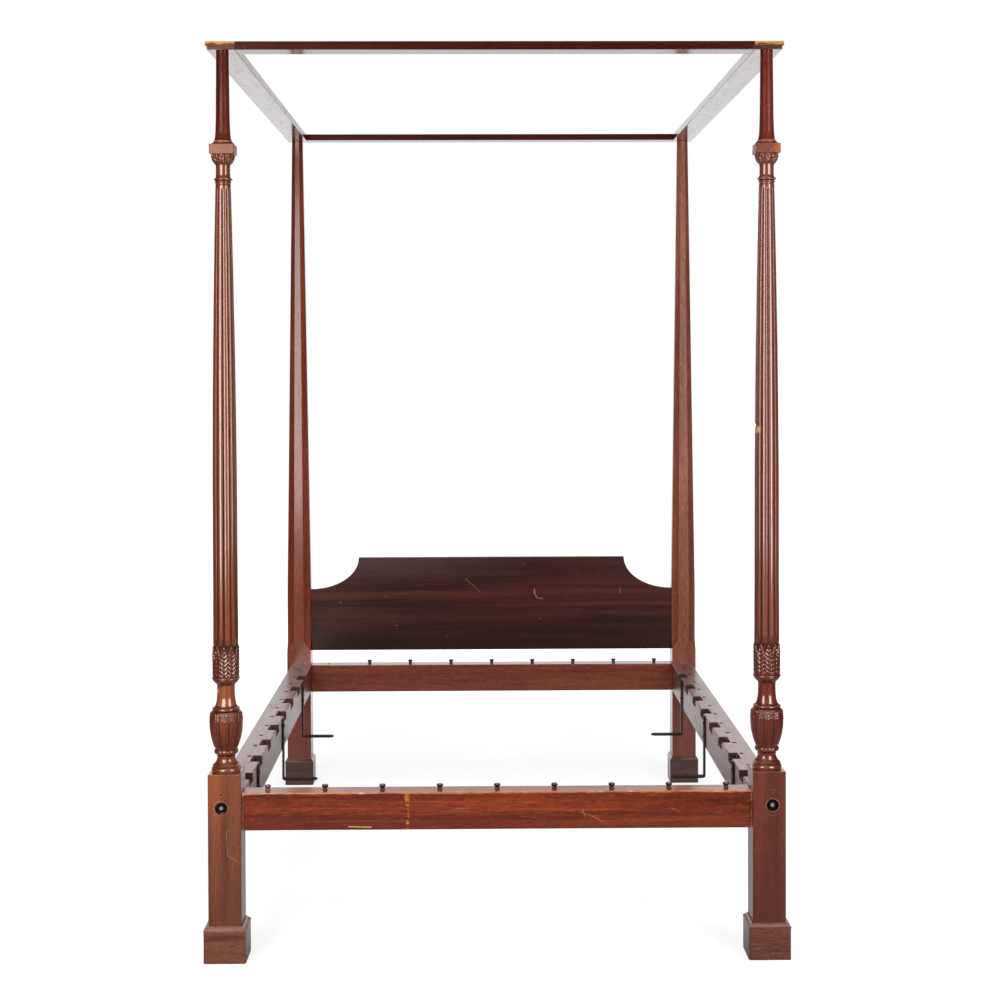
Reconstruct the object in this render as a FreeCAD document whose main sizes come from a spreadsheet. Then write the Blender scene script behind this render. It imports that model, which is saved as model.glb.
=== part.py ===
import FreeCAD, Part
import Sketcher
import math
import os
import re

# A four-post tester bed: reeded and carved foot posts, eight-sided head posts, bolted rails and a
# half-lapped tester frame that lies on pins. Millimetres, +Z up, the foot end towards -Y.
doc = FreeCAD.newDocument("canopy_bed")
sheet = doc.addObject("Spreadsheet::Sheet", "Sizes")

sizes = {
    # Where the posts stand, axis to axis
    "post_spacing_x": 1479.0,
    "post_spacing_y": 1985.0,
    # Square legs
    "leg_width": 90.0,
    "leg_height": 511.0,
    # Block feet and the mouldings on them
    "foot_plinth_board": 12.5,
    "head_plinth_board": 9.0,
    "plinth_height": 86.0,
    "plinth_corner": 7.0,
    "moulding_height": 13.0,
    "moulding_fillet": 4.0,
    "moulding_top": 3.0,
    # Turned and carved part of a foot post, from the leg upwards
    "base_ring_height": 15.0,
    "base_ring_radius": 40.0,
    "scotia_height": 29.0,
    "scotia_radius": 25.3,
    "scotia_neck_height": 5.0,
    "collar_height": 11.0,
    "collar_radius": 33.0,
    "vase_foot_height": 3.0,
    "vase_height": 103.0,
    "vase_foot_radius": 30.8,
    "vase_radius": 46.2,
    "vase_top_radius": 41.0,
    "vase_leaf_depth": 3.0,
    "cushion_height": 10.0,
    "cushion_radius": 37.5,
    "neck_foot_radius": 31.0,
    "neck_radius": 24.0,
    "neck_height": 43.0,
    "neck_top_height": 22.0,
    "cup_ring_height": 18.0,
    "cup_ring_radius": 38.5,
    "cup_height": 92.0,
    "cup_radius": 36.2,
    "cup_leaf_depth": 2.5,
    "cup_lip": 1.2,
    "lobe_count": 10,
    "reed_length": 1249.0,
    "reed_foot_radius": 34.7,
    "reed_top_radius": 21.1,
    "reed_depth_ratio": 0.12,
    "reed_taper_power": 2.1,
    "bead_height": 9.0,
    "bead_radius": 22.5,
    "astragal_height": 7.0,
    "astragal_radius": 25.5,
    "cap_neck_height": 38.0,
    "cap_neck_radius": 19.6,
    "cap_height": 26.0,
    "cap_radius": 32.0,
    "cap_bowl_centre": 3.0,
    "block_width": 67.0,
    "block_height": 26.6,
    # Upper column, dowelled into the block
    "dowel_diameter": 20.0,
    "dowel_length": 22.0,
    "column_base_radius": 30.8,
    "column_base_height": 5.4,
    "column_fillet_radius": 25.5,
    "column_fillet_height": 4.0,
    "column_flare_height": 30.0,
    "column_foot_radius": 20.0,
    "column_top_radius": 17.0,
    "column_height": 251.4,
    # Eight-sided head posts
    "stop_height": 38.0,
    "octagon_straight": 196.0,
    "octagon_top_width": 40.5,
    # Headboard
    "headboard_height": 357.0,
    "headboard_thickness": 22.0,
    "headboard_tongue": 16.0,
    "shoulder_drop": 122.0,
    "shoulder_run": 183.5,
    # Rails, a little below the tops of the legs
    "rail_drop": 54.0,
    "rail_height": 102.0,
    "end_rail_thickness": 67.0,
    "end_rail_setback": 14.0,
    "side_rail_thickness": 76.0,
    "side_rail_setback": 14.5,
    "tenon_thickness": 24.0,
    "tenon_length": 30.0,
    "tenon_shoulder": 12.0,
    # Rope pegs, and the stubs that are left of them on the side rails
    "peg_count": 9,
    "peg_end_gap": 66.9,
    "peg_diameter": 12.0,
    "peg_depth": 26.0,
    "peg_height": 16.0,
    "peg_head_diameter": 18.0,
    "peg_head_height": 6.0,
    "peg_waist_diameter": 10.5,
    "stub_count": 13,
    "stub_end_gap": 83.5,
    # Slat notches in the side rails: first from the foot posts' axes, last from the head posts' axes
    "notch_count": 8,
    "notch_first": 167.0,
    "notch_last": 292.0,
    "notch_length": 80.0,
    "notch_width": 27.0,
    "notch_depth": 24.0,
    # Bed irons: first from the foot posts' axes, last from the head posts' axes
    "iron_count": 3,
    "iron_first": 315.0,
    "iron_last": 375.0,
    "iron_width": 32.0,
    "iron_thickness": 5.0,
    "iron_drop": 202.0,
    "iron_foot": 114.0,
    "iron_bend": 9.0,
    "screw_diameter": 5.0,
    "screw_length": 30.0,
    "screw_head_diameter": 10.0,
    "screw_head_height": 2.6,
    "screw_first": 24.0,
    "screw_pitch": 44.0,
    # Bed bolts
    "bolt_diameter": 10.0,
    "bolt_length": 165.0,
    "bolt_head_diameter": 24.0,
    "bolt_head_height": 8.0,
    "counterbore_diameter": 33.0,
    "counterbore_depth": 12.0,
    "side_bolt_drop": 38.0,
    "side_bolt_outset": 9.0,
    "end_bolt_drop": 64.0,
    "nut_width": 20.0,
    "nut_thickness": 10.0,
    "nut_inset": 55.0,
    "cover_screw_diameter": 5.0,
    "cover_screw_depth": 12.0,
    "cover_screw_rise": 37.0,
    # Tester frame on its pins
    "tester_width": 74.0,
    "tester_thickness": 23.0,
    "tester_overhang": 5.0,
    "pin_diameter": 8.0,
    "pin_depth": 40.0,
    "pin_proud": 3.0,
    # Clearances
    "fit_gap": 0.2,
    "pin_gap": 0.5,
}
for row, (size_name, size_value) in enumerate(sizes.items(), start=1):
    sheet.set("A%d" % row, size_name)
    sheet.set("B%d" % row, str(size_value))
    sheet.setAlias("B%d" % row, size_name)
doc.recompute()

# Heights and places that several pieces share, written in the sheet's names
scotia_start = "leg_height + base_ring_height"
collar_start = scotia_start + " + scotia_height + scotia_neck_height"
vase_start = collar_start + " + collar_height + vase_foot_height"
cushion_start = vase_start + " + vase_height"
neck_start = cushion_start + " + cushion_height"
cup_ring_start = neck_start + " + neck_height + neck_top_height"
cup_start = cup_ring_start + " + cup_ring_height"
reed_start = cup_start + " + cup_height"
bead_start = reed_start + " + reed_length"
astragal_start = bead_start + " + bead_height"
cap_neck_start = astragal_start + " + astragal_height"
cap_start = cap_neck_start + " + cap_neck_height"
block_start = cap_start + " + cap_height"
column_start = block_start + " + block_height"
post_top = column_start + " + column_height"
rail_top = "leg_height - rail_drop"
rail_bottom = rail_top + " - rail_height"
side_bolt_height = rail_top + " - side_bolt_drop"
end_bolt_height = rail_top + " - end_bolt_drop"
end_centre = "foot_plinth_board / 2 - head_plinth_board / 2"
post_y = {"foot": "%s - post_spacing_y / 2" % end_centre, "head": "%s + post_spacing_y / 2" % end_centre}
post_x = {"left": "-post_spacing_x / 2", "right": "post_spacing_x / 2"}
side_sign = {"left": -1, "right": 1}
inward_y = {"foot": 1, "head": -1}
axis_turns = {
    "+Z": FreeCAD.Rotation(),
    "+X": FreeCAD.Rotation(FreeCAD.Vector(0, 1, 0), 90),
    "-X": FreeCAD.Rotation(FreeCAD.Vector(0, 1, 0), -90),
    "+Y": FreeCAD.Rotation(FreeCAD.Vector(1, 0, 0), -90),
    "-Y": FreeCAD.Rotation(FreeCAD.Vector(1, 0, 0), 90),
}
screw_rows = 2
subparts = []


def on_sheet(formula):
    """A formula in the sheet's names, as an expression that any object can use."""

    def full_name(match):
        word = match.group()
        return "Sizes." + word if word in sizes else word

    return re.sub(r"[a-z]\w*", full_name, formula)


def value_of(formula):
    """What a formula in the sheet's names comes to."""
    sheet.set("D1", "=" + formula)
    sheet.recompute()
    return float(sheet.get("D1"))


def even_places(count, run):
    """Formulas of evenly spaced places over a run whose middle is zero."""
    return ["(%d / %d - 1 / 2) * (%s)" % (number, count - 1, run) for number in range(count)]


def bind(item, **formulas):
    """Tie an object's sizes to formulas on the sheet."""
    for name, formula in formulas.items():
        item.setExpression(name, on_sheet(formula))


def place(item, x="0", y="0", z="0", turn=None):
    """Put an object at a place given by formulas, turned if need be."""
    if turn is not None:
        item.Placement = FreeCAD.Placement(FreeCAD.Vector(), turn)
    for axis, formula in (("x", x), ("y", y), ("z", z)):
        item.setExpression("Placement.Base." + axis, on_sheet(formula))
    return item


def subpart(item, label):
    """Keep an object as one of the bed's pieces, under its own label."""
    item.Label = label
    subparts.append(item)
    return item


def box(name, length, width, height, x="0", y="0", z="0"):
    """A box centred on x and y that stands on z."""
    item = doc.addObject("Part::Box", name)
    bind(item, Length=length, Width=width, Height=height)
    return place(item, "%s - (%s) / 2" % (x, length), "%s - (%s) / 2" % (y, width), z)


def cylinder(name, diameter, height, x="0", y="0", z="0", axis="+Z"):
    """A round bar that starts at a point and runs along an axis."""
    item = doc.addObject("Part::Cylinder", name)
    bind(item, Radius="(%s) / 2" % diameter, Height=height)
    return place(item, x, y, z, axis_turns[axis])


def fuse(name, pieces):
    """Several solids joined into one."""
    item = doc.addObject("Part::MultiFuse", name)
    item.Shapes = pieces
    item.Refine = True
    return item


def cut(name, base, tools):
    """A solid with the tools taken out of it."""
    item = doc.addObject("Part::Cut", name)
    item.Base = base
    item.Tool = tools[0] if len(tools) == 1 else fuse(name + "_tools", tools)
    item.Refine = True
    return item


def common(name, pieces):
    """What several solids share."""
    item = doc.addObject("Part::MultiCommon", name)
    item.Shapes = pieces
    return item


def group(name, pieces):
    """Separate solids kept together as one piece."""
    item = doc.addObject("Part::Compound", name)
    item.Links = pieces
    return item


def copy_of(name, source, x="0", y="0", z="0", turn=None):
    """A linked copy of a piece at another place."""
    item = doc.addObject("App::Link", name)
    item.LinkedObject = source
    item.LinkTransform = True
    return place(item, x, y, z, turn)


def outline_sketch(body, name, plane, outline):
    """A closed sketch through (across, up, arc centre) corners.

    The third value is None where a straight line leads on to the next corner, or else how far across
    the centre of the arc to the next corner lies. A centre beyond the corners makes a hollow arc.
    """
    sketch = body.newObject("Sketcher::SketchObject", name)
    origin_planes = [item for item in body.Origin.OriginFeatures if item.Role == plane]
    sketch.AttachmentSupport = [(origin_planes[0], "")]
    sketch.MapMode = "FlatFace"
    corners = [(value_of(across), value_of(up)) for across, up, centre in outline]
    ends = []
    for index, (across, up, centre) in enumerate(outline):
        start = corners[index]
        end = corners[(index + 1) % len(corners)]
        if centre is None:
            line = Part.LineSegment(FreeCAD.Vector(*start), FreeCAD.Vector(*end))
            sketch.addGeometry(line, False)
            ends.append((1, 2))
            continue
        middle_x = value_of(centre)
        reach = (end[0] - middle_x) ** 2 - (start[0] - middle_x) ** 2 + end[1] ** 2 - start[1] ** 2
        middle_y = reach / (2 * (end[1] - start[1]))
        radius = math.hypot(start[0] - middle_x, start[1] - middle_y)
        start_angle = math.atan2(start[1] - middle_y, start[0] - middle_x)
        end_angle = math.atan2(end[1] - middle_y, end[0] - middle_x)
        circle = Part.Circle(FreeCAD.Vector(middle_x, middle_y, 0), FreeCAD.Vector(0, 0, 1), radius)
        hollow = middle_x > max(start[0], end[0])
        if hollow:
            sketch.addGeometry(Part.ArcOfCircle(circle, end_angle, start_angle), False)
            ends.append((2, 1))
        else:
            sketch.addGeometry(Part.ArcOfCircle(circle, start_angle, end_angle), False)
            ends.append((1, 2))

    def tie(kind, geometry, point, formula):
        number = sketch.addConstraint(Sketcher.Constraint(kind, -1, 1, geometry, point, value_of(formula)))
        sketch.setExpression("Constraints[%d]" % number, on_sheet(formula))

    for index, (across, up, centre) in enumerate(outline):
        before = index - 1 if index else len(outline) - 1
        first = ends[index][0]
        sketch.addConstraint(Sketcher.Constraint("Coincident", before, ends[before][1], index, first))
        if across == "0":
            sketch.addConstraint(Sketcher.Constraint("PointOnObject", index, first, -2))
        else:
            tie("DistanceX", index, first, across)
        if up == "0":
            sketch.addConstraint(Sketcher.Constraint("PointOnObject", index, first, -1))
        else:
            tie("DistanceY", index, first, up)
        if centre is not None:
            tie("DistanceX", index, 3, centre)
    return sketch


def turned(name, outline):
    """A body turned round the Z axis from (radius, height, arc centre) corners."""
    body = doc.addObject("PartDesign::Body", name)
    sketch = outline_sketch(body, name + "_outline", "XZ_Plane", outline)
    turning = body.newObject("PartDesign::Revolution", name + "_turning")
    turning.Profile = sketch
    turning.ReferenceAxis = (sketch, ["V_Axis"])
    turning.Angle = 360
    body.Tip = turning
    return body


def half_round(radius, start, height):
    """Two corners of a half-round ring in a turned outline."""
    centre = "%s - (%s) / 2" % (radius, height)
    return [(centre, start, centre), (centre, "%s + %s" % (start, height), None)]


def lobed_ring(name, radius, depth, height):
    """A closed ring of equal round lobes, each an arc from valley to valley over its crest."""
    count = int(value_of("lobe_count"))
    level = value_of(height)
    crest = value_of(radius)
    valley = crest - value_of(depth)

    def on_ring(reach, step):
        angle = 2 * math.pi * step / count
        return FreeCAD.Vector(reach * math.cos(angle), reach * math.sin(angle), level)

    arcs = []
    for lobe in range(count):
        over = Part.Arc(on_ring(valley, lobe - 0.5), on_ring(crest, lobe), on_ring(valley, lobe + 0.5))
        arcs.append(over.toShape())
    ring = doc.addObject("Part::Feature", name)
    ring.Shape = Part.Wire(arcs)
    return ring


def lobed_stem(name, start, height, sections, straight=False):
    """A solid lofted through lobed rings, given as (crest radius, valley depth, share of the height)."""
    rings = []
    for number, (radius, depth, share) in enumerate(sections):
        level = "%s + %g * %s" % (start, share, height)
        rings.append(lobed_ring("%s_ring_%d" % (name, number), radius, depth, level))
    stem = doc.addObject("Part::Loft", name)
    stem.Sections = rings
    stem.Solid = True
    stem.Ruled = straight
    return stem


def foot_post_blank():
    """A foot post before its joints are cut: leg, turnings, carved vase and cup, reeds, cap and block."""
    leg = box("foot_leg", "leg_width", "leg_width", "leg_height")
    base = turned("post_base", [("0", "leg_height", None)]
                  + half_round("base_ring_radius", "leg_height", "base_ring_height")[:1]
                  + [("base_ring_radius - base_ring_height / 2", scotia_start, "base_ring_radius"),
                     ("scotia_radius", scotia_start + " + scotia_height", None),
                     ("scotia_radius", collar_start, None)]
                  + half_round("collar_radius", collar_start, "collar_height")
                  + [("vase_foot_radius - 2 * vase_leaf_depth", vase_start, None), ("0", vase_start, None)])
    vase = lobed_stem("post_vase", vase_start, "vase_height", [
        ("vase_foot_radius", "vase_leaf_depth", 0),
        ("vase_foot_radius * 0.32 + vase_radius * 0.68", "vase_leaf_depth", 0.3),
        ("vase_foot_radius * 0.07 + vase_radius * 0.93", "vase_leaf_depth", 0.6),
        ("vase_radius", "vase_leaf_depth", 0.82),
        ("vase_top_radius", "vase_leaf_depth", 1)])
    neck = turned("post_neck", [("0", cushion_start, None)]
                  + half_round("cushion_radius", cushion_start, "cushion_height")
                  + [("neck_foot_radius", neck_start, "neck_foot_radius + 2 * neck_height"),
                     ("neck_radius", neck_start + " + neck_height", None),
                     ("neck_radius", cup_ring_start, None)]
                  + half_round("cup_ring_radius", cup_ring_start, "cup_ring_height")
                  + [("0", cup_start, None)])
    cup = lobed_stem("post_cup", cup_start, "cup_height", [
        ("cup_radius - cup_leaf_depth", "cup_leaf_depth", 0),
        ("cup_radius", "cup_leaf_depth", 0.35),
        ("cup_radius", "cup_leaf_depth", 0.75),
        ("reed_foot_radius + cup_lip", "cup_leaf_depth", 1)])
    reeds = []
    for share in (0, 0.3, 0.55, 0.8, 1):
        radius = "reed_foot_radius - (reed_foot_radius - reed_top_radius) * %g ^ reed_taper_power" % share
        reeds.append((radius, "reed_depth_ratio * (%s)" % radius, share))
    shaft = lobed_stem("post_reeds", reed_start, "reed_length", reeds, straight=True)
    head = turned("post_head", [("0", bead_start, None)]
                  + half_round("bead_radius", bead_start, "bead_height")
                  + half_round("astragal_radius", astragal_start, "astragal_height")
                  + [("cap_neck_radius", cap_neck_start, None),
                     ("cap_neck_radius", cap_start, "cap_bowl_centre"),
                     ("cap_radius", block_start, None), ("0", block_start, None)])
    block = box("post_block", "block_width", "block_width", "block_height", z=block_start)
    return fuse("foot_post_blank", [leg, base, vase, neck, cup, shaft, head, block])


def polygon(name, corners, half_width, height):
    """A flat regular polygon whose sides stand half_width from the axis, with one side square to X."""
    item = doc.addObject("Part::RegularPolygon", name)
    item.Polygon = corners
    bind(item, Circumradius="(%s) / cos(%g deg)" % (half_width, 180 / corners))
    return place(item, z=height, turn=FreeCAD.Rotation(FreeCAD.Vector(0, 0, 1), 180 / corners))


def head_post_blank():
    """A head post before its joints are cut: square leg, chamfer stops and a tapering eight-sided shaft."""
    leg = box("head_leg", "leg_width", "leg_width", "leg_height")
    square = box("stop_square", "leg_width", "leg_width", "stop_height", z="leg_height")
    slope = doc.addObject("Part::Loft", "stop_slope")
    slope.Sections = [polygon("stop_foot", 4, "leg_width / 2 * sqrt(2)", "leg_height"),
                      polygon("stop_top", 4, "leg_width / 2", "leg_height + stop_height")]
    slope.Solid = True
    slope.Placement.Rotation = FreeCAD.Rotation(FreeCAD.Vector(0, 0, 1), 45)
    stops = common("chamfer_stops", [square, slope])
    octagon_start = "leg_height + stop_height"
    taper_start = octagon_start + " + octagon_straight"
    shaft = doc.addObject("Part::Loft", "octagon_shaft")
    shaft.Sections = [polygon("octagon_foot", 8, "leg_width / 2", octagon_start),
                      polygon("octagon_taper", 8, "leg_width / 2", taper_start),
                      polygon("octagon_top", 8, "octagon_top_width / 2", post_top)]
    shaft.Solid = True
    shaft.Ruled = True
    return fuse("head_post_blank", [leg, stops, shaft])


def leg_joints(end, side):
    """What is cut out of one leg for its rails and bolts, in the post's own frame."""
    name = "%s_%s" % (end, side)
    out_x = side_sign[side]
    in_y = inward_y[end]
    tenon_height = "rail_height - 2 * tenon_shoulder + 2 * fit_gap"
    tenon_bottom = rail_bottom + " + tenon_shoulder - fit_gap"
    depth = "tenon_length + fit_gap"
    end_rail_y = "%d * (end_rail_setback + end_rail_thickness / 2 - leg_width / 2)" % in_y
    side_bolt_x = "%d * side_bolt_outset" % out_x
    end_mortise = box(name + "_end_mortise", depth, "tenon_thickness + 2 * fit_gap", tenon_height,
                      "%d * (leg_width / 2 - (%s) / 2)" % (-out_x, depth), end_rail_y, tenon_bottom)
    side_mortise = box(name + "_side_mortise", "tenon_thickness + 2 * fit_gap", depth, tenon_height,
                       side_bolt_x, "%d * (leg_width / 2 - (%s) / 2)" % (in_y, depth), tenon_bottom)
    hole = "bolt_diameter + 2 * fit_gap"
    along_y = "+Y" if in_y > 0 else "-Y"
    along_x = "-X" if out_x > 0 else "+X"
    outer_y = "%d * leg_width / 2" % -in_y
    outer_x = "%d * leg_width / 2" % out_x
    return [
        end_mortise,
        side_mortise,
        cylinder(name + "_side_bolt", hole, "leg_width", side_bolt_x, outer_y, side_bolt_height, along_y),
        cylinder(name + "_side_bore", "counterbore_diameter", "counterbore_depth",
                 side_bolt_x, outer_y, side_bolt_height, along_y),
        cylinder(name + "_side_cover", "cover_screw_diameter", "cover_screw_depth",
                 side_bolt_x, outer_y, side_bolt_height + " + cover_screw_rise", along_y),
        cylinder(name + "_end_bolt", hole, "leg_width", outer_x, end_rail_y, end_bolt_height, along_x),
        cylinder(name + "_end_bore", "counterbore_diameter", "counterbore_depth",
                 outer_x, end_rail_y, end_bolt_height, along_x),
        cylinder(name + "_end_cover", "cover_screw_diameter", "cover_screw_depth",
                 outer_x, end_rail_y, end_bolt_height + " + cover_screw_rise", along_x),
    ]


def plinth_and_moulding(end, board):
    """Block foot and moulding for one kind of leg: four mitred boards and four mitred strips."""

    def mitred(name, bottom, height, turn):
        item = doc.addObject("Part::Wedge", name)
        top = "%s + %s" % (bottom, height)
        bind(item, Xmin="-leg_width / 2", Xmax="leg_width / 2", Ymin="leg_width / 2")
        bind(item, X2min="-leg_width / 2 - " + board, X2max="leg_width / 2 + " + board)
        bind(item, Ymax="leg_width / 2 + " + board, Zmin=bottom, Zmax=top, Z2min=bottom, Z2max=top)
        item.Placement.Rotation = turn
        return item

    outside = "leg_width + 2 * " + board
    block = box(end + "_plinth_block", outside, outside, "plinth_height")
    doc.recompute()
    rounded = doc.addObject("Part::Fillet", end + "_plinth_rounded")
    rounded.Base = block
    upright = [number for number, edge in enumerate(block.Shape.Edges, start=1)
               if abs(edge.tangentAt(edge.FirstParameter).z) > 0.9]
    corner = value_of("plinth_corner")
    rounded.Edges = [(number, corner, corner) for number in upright]
    strip = doc.addObject("PartDesign::Body", end + "_moulding_strip")
    face = "leg_width / 2"
    profile = outline_sketch(strip, end + "_moulding_profile", "YZ_Plane", [
        (face, "plinth_height", None),
        (face + " + " + board, "plinth_height", None),
        (face + " + " + board, "plinth_height + moulding_fillet", face + " + %s + moulding_height" % board),
        (face + " + moulding_top", "plinth_height + moulding_height", None),
        (face, "plinth_height + moulding_height", None)])
    pad = strip.newObject("PartDesign::Pad", end + "_moulding_length")
    pad.Profile = profile
    pad.SideType = "Symmetric"
    bind(pad, Length=outside)
    strip.Tip = pad
    boards = []
    strips = []
    for quarter in range(4):
        turn = FreeCAD.Rotation(FreeCAD.Vector(0, 0, 1), 90 * quarter)
        name = "%s_%d" % (end, quarter)
        board_blank = mitred(name + "_board_blank", "0", "plinth_height", turn)
        boards.append(common(name + "_board", [board_blank, rounded]))
        sector = mitred(name + "_strip_blank", "plinth_height", "moulding_height", turn)
        turned_strip = copy_of(name + "_strip_turned", strip, turn=turn)
        strips.append(common(name + "_strip", [sector, turned_strip]))
    return group(end + "_plinth_boards", boards), group(end + "_moulding_strips", strips)


def upper_column():
    """A short plain column with a moulded foot and a dowel below it, bored for a pin at the top."""
    seat = "dowel_length"
    fillet_start = seat + " + column_base_height"
    flare_start = fillet_start + " + column_fillet_height"
    shaft_start = flare_start + " + column_flare_height"
    top = seat + " + column_height"
    body = turned("column_blank", [
        ("0", "0", None),
        ("dowel_diameter / 2", "0", None),
        ("dowel_diameter / 2", seat, None),
        ("column_base_radius", seat, None),
        ("column_base_radius", fillet_start, None),
        ("column_fillet_radius", fillet_start, None),
        ("column_fillet_radius", flare_start, "column_foot_radius + column_flare_height * 2"),
        ("column_foot_radius", shaft_start, None),
        ("column_top_radius", top, None),
        ("0", top, None)])
    hole = cylinder("column_pin_hole", "pin_diameter + 2 * fit_gap", "pin_depth + fit_gap",
                    z=top + " - pin_depth - fit_gap")
    return cut("column_bored", body, [hole])


def rope_peg():
    """A turned peg with a mushroom head, a waist and a shank that fills its hole, standing on z = 0."""
    waist = "peg_waist_diameter / 2"
    head_start = "peg_depth + peg_height - peg_head_height"
    return turned("rope_peg", [
        ("0", "0", None),
        ("peg_diameter / 2", "0", None),
        ("peg_diameter / 2", "peg_depth", None),
        (waist, head_start, None),
        ("peg_head_diameter / 2", head_start + " + peg_head_height / 2", None),
        (waist, "peg_depth + peg_height", None),
        ("0", "peg_depth + peg_height", None)])


def bed_bolt():
    """A bolt with a round head at z = 0 upwards and its shank below."""
    return turned("bed_bolt", [
        ("0", "0", None),
        ("bolt_diameter / 2", "0", None),
        ("bolt_diameter / 2", "bolt_length", None),
        ("bolt_head_diameter / 2", "bolt_length", None),
        ("bolt_head_diameter / 2", "bolt_length + bolt_head_height * 0.6", None),
        ("bolt_head_diameter / 2 - bolt_head_height * 0.4", "bolt_length + bolt_head_height", None),
        ("0", "bolt_length + bolt_head_height", None)])


def iron_screw():
    """A wood screw with a low domed head; the seat of its head is at z = screw_length."""
    return turned("iron_screw", [
        ("0", "0", None),
        ("screw_diameter / 2", "screw_diameter", None),
        ("screw_diameter / 2", "screw_length", None),
        ("screw_head_diameter / 2", "screw_length", None),
        ("screw_head_diameter / 4", "screw_length + screw_head_height", None),
        ("0", "screw_length + screw_head_height", None)])


def bed_iron():
    """An L-shaped strap in its own frame: its back on y = 0, its foot on z = 0 and reaching towards +Y."""
    strap = doc.addObject("PartDesign::Body", "iron_strap")
    profile = outline_sketch(strap, "iron_profile", "YZ_Plane", [
        ("iron_bend", "0", None),
        ("iron_foot", "0", None),
        ("iron_foot", "iron_thickness", None),
        ("iron_thickness", "iron_thickness", None),
        ("iron_thickness", "iron_drop", None),
        ("0", "iron_drop", None),
        ("0", "iron_bend", "iron_bend")])
    pad = strap.newObject("PartDesign::Pad", "iron_width_pad")
    pad.Profile = profile
    pad.SideType = "Symmetric"
    bind(pad, Length="iron_width")
    doc.recompute()
    top = value_of("iron_drop")
    tip = value_of("iron_foot")
    corners = []
    for number, edge in enumerate(pad.Shape.Edges, start=1):
        middle = edge.CenterOfMass
        across_top = abs(middle.z - top) < 0.01 and abs(middle.x) > 1
        across_tip = abs(middle.y - tip) < 0.01 and abs(middle.x) > 1
        if across_top or across_tip:
            corners.append("Edge%d" % number)
    rounding = strap.newObject("PartDesign::Fillet", "iron_rounding")
    rounding.Base = (pad, corners)
    bind(rounding, Radius="iron_width * 0.48")
    strap.Tip = rounding
    holes = []
    for row in range(screw_rows):
        height = "iron_drop - screw_first - %d * screw_pitch" % row
        holes.append(cylinder("iron_hole_%d" % row, "screw_diameter + 2 * fit_gap", "iron_thickness",
                              z=height, axis="+Y"))
    return cut("bed_iron", strap, holes)


def rail(name, length, thickness, bolt_across, bolt_height, extra_tools):
    """A rail with its tenons, its bolt holes and the nut slots in its underside, cut by extra tools.

    It lies along X in its own frame, centred on the origin, with its inner face towards +Y.
    """
    beam = box(name + "_beam", length, thickness, "rail_height", z=rail_bottom)
    pieces = [beam]
    tools = list(extra_tools)
    tenon_height = "rail_height - 2 * tenon_shoulder"
    reach = "bolt_length + counterbore_depth - leg_width + tenon_length + fit_gap"
    slot_height = "%s + nut_width / 2 + fit_gap - (%s)" % (bolt_height, rail_bottom)
    for sign, along in ((-1, "+X"), (1, "-X")):
        label = "%s_%s" % (name, "low" if sign < 0 else "high")
        tenon_x = "%d * ((%s) / 2 + tenon_length / 2)" % (sign, length)
        tenon_end = "%d * ((%s) / 2 + tenon_length)" % (sign, length)
        nut_x = "%d * ((%s) / 2 - nut_inset)" % (sign, length)
        pieces.append(box(label + "_tenon", "tenon_length", "tenon_thickness", tenon_height,
                          tenon_x, bolt_across, rail_bottom + " + tenon_shoulder"))
        tools.append(cylinder(label + "_bolt_hole", "bolt_diameter + 2 * fit_gap", reach,
                              tenon_end, bolt_across, bolt_height, along))
        tools.append(box(label + "_nut_slot", "nut_thickness + 2 * fit_gap", "nut_width + 2 * fit_gap",
                         slot_height, nut_x, bolt_across, rail_bottom))
    return cut(name, fuse(name + "_blank", pieces), tools)


# Posts, with the sockets that their own neighbours need
foot_blank = foot_post_blank()
head_blank = head_post_blank()
column_master = upper_column()
plinths = {"foot": plinth_and_moulding("foot", "foot_plinth_board"),
           "head": plinth_and_moulding("head", "head_plinth_board")}
for side in ("left", "right"):
    socket = cylinder("dowel_socket_" + side, "dowel_diameter + 2 * fit_gap", "dowel_length + fit_gap",
                      z=column_start + " - dowel_length - fit_gap")
    foot_post = cut("foot_post_" + side, foot_blank, leg_joints("foot", side) + [socket])
    subpart(place(foot_post, post_x[side], post_y["foot"]), "foot_post_" + side)
    column = copy_of("foot_column_" + side, column_master, post_x[side], post_y["foot"],
                     column_start + " - dowel_length")
    subpart(column, "foot_column_" + side)
    slot_x = "%d * (leg_width / 2 - (headboard_tongue + fit_gap) / 2)" % -side_sign[side]
    slot = box("headboard_slot_" + side, "headboard_tongue + fit_gap", "headboard_thickness + 2 * fit_gap",
               "headboard_height - shoulder_drop", slot_x, "0", "leg_height")
    pin_hole = cylinder("head_pin_hole_" + side, "pin_diameter + 2 * fit_gap", "pin_depth + fit_gap",
                        z=post_top + " - pin_depth - fit_gap")
    head_post = cut("head_post_" + side, head_blank, leg_joints("head", side) + [slot, pin_hole])
    subpart(place(head_post, post_x[side], post_y["head"]), "head_post_" + side)

# Block feet and their mouldings
for end in ("foot", "head"):
    for side in ("left", "right"):
        for kind, master in zip(("plinth", "moulding"), plinths[end]):
            name = "%s_%s_%s" % (end, kind, side)
            subpart(copy_of(name, master, post_x[side], post_y[end]), name)

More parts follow.
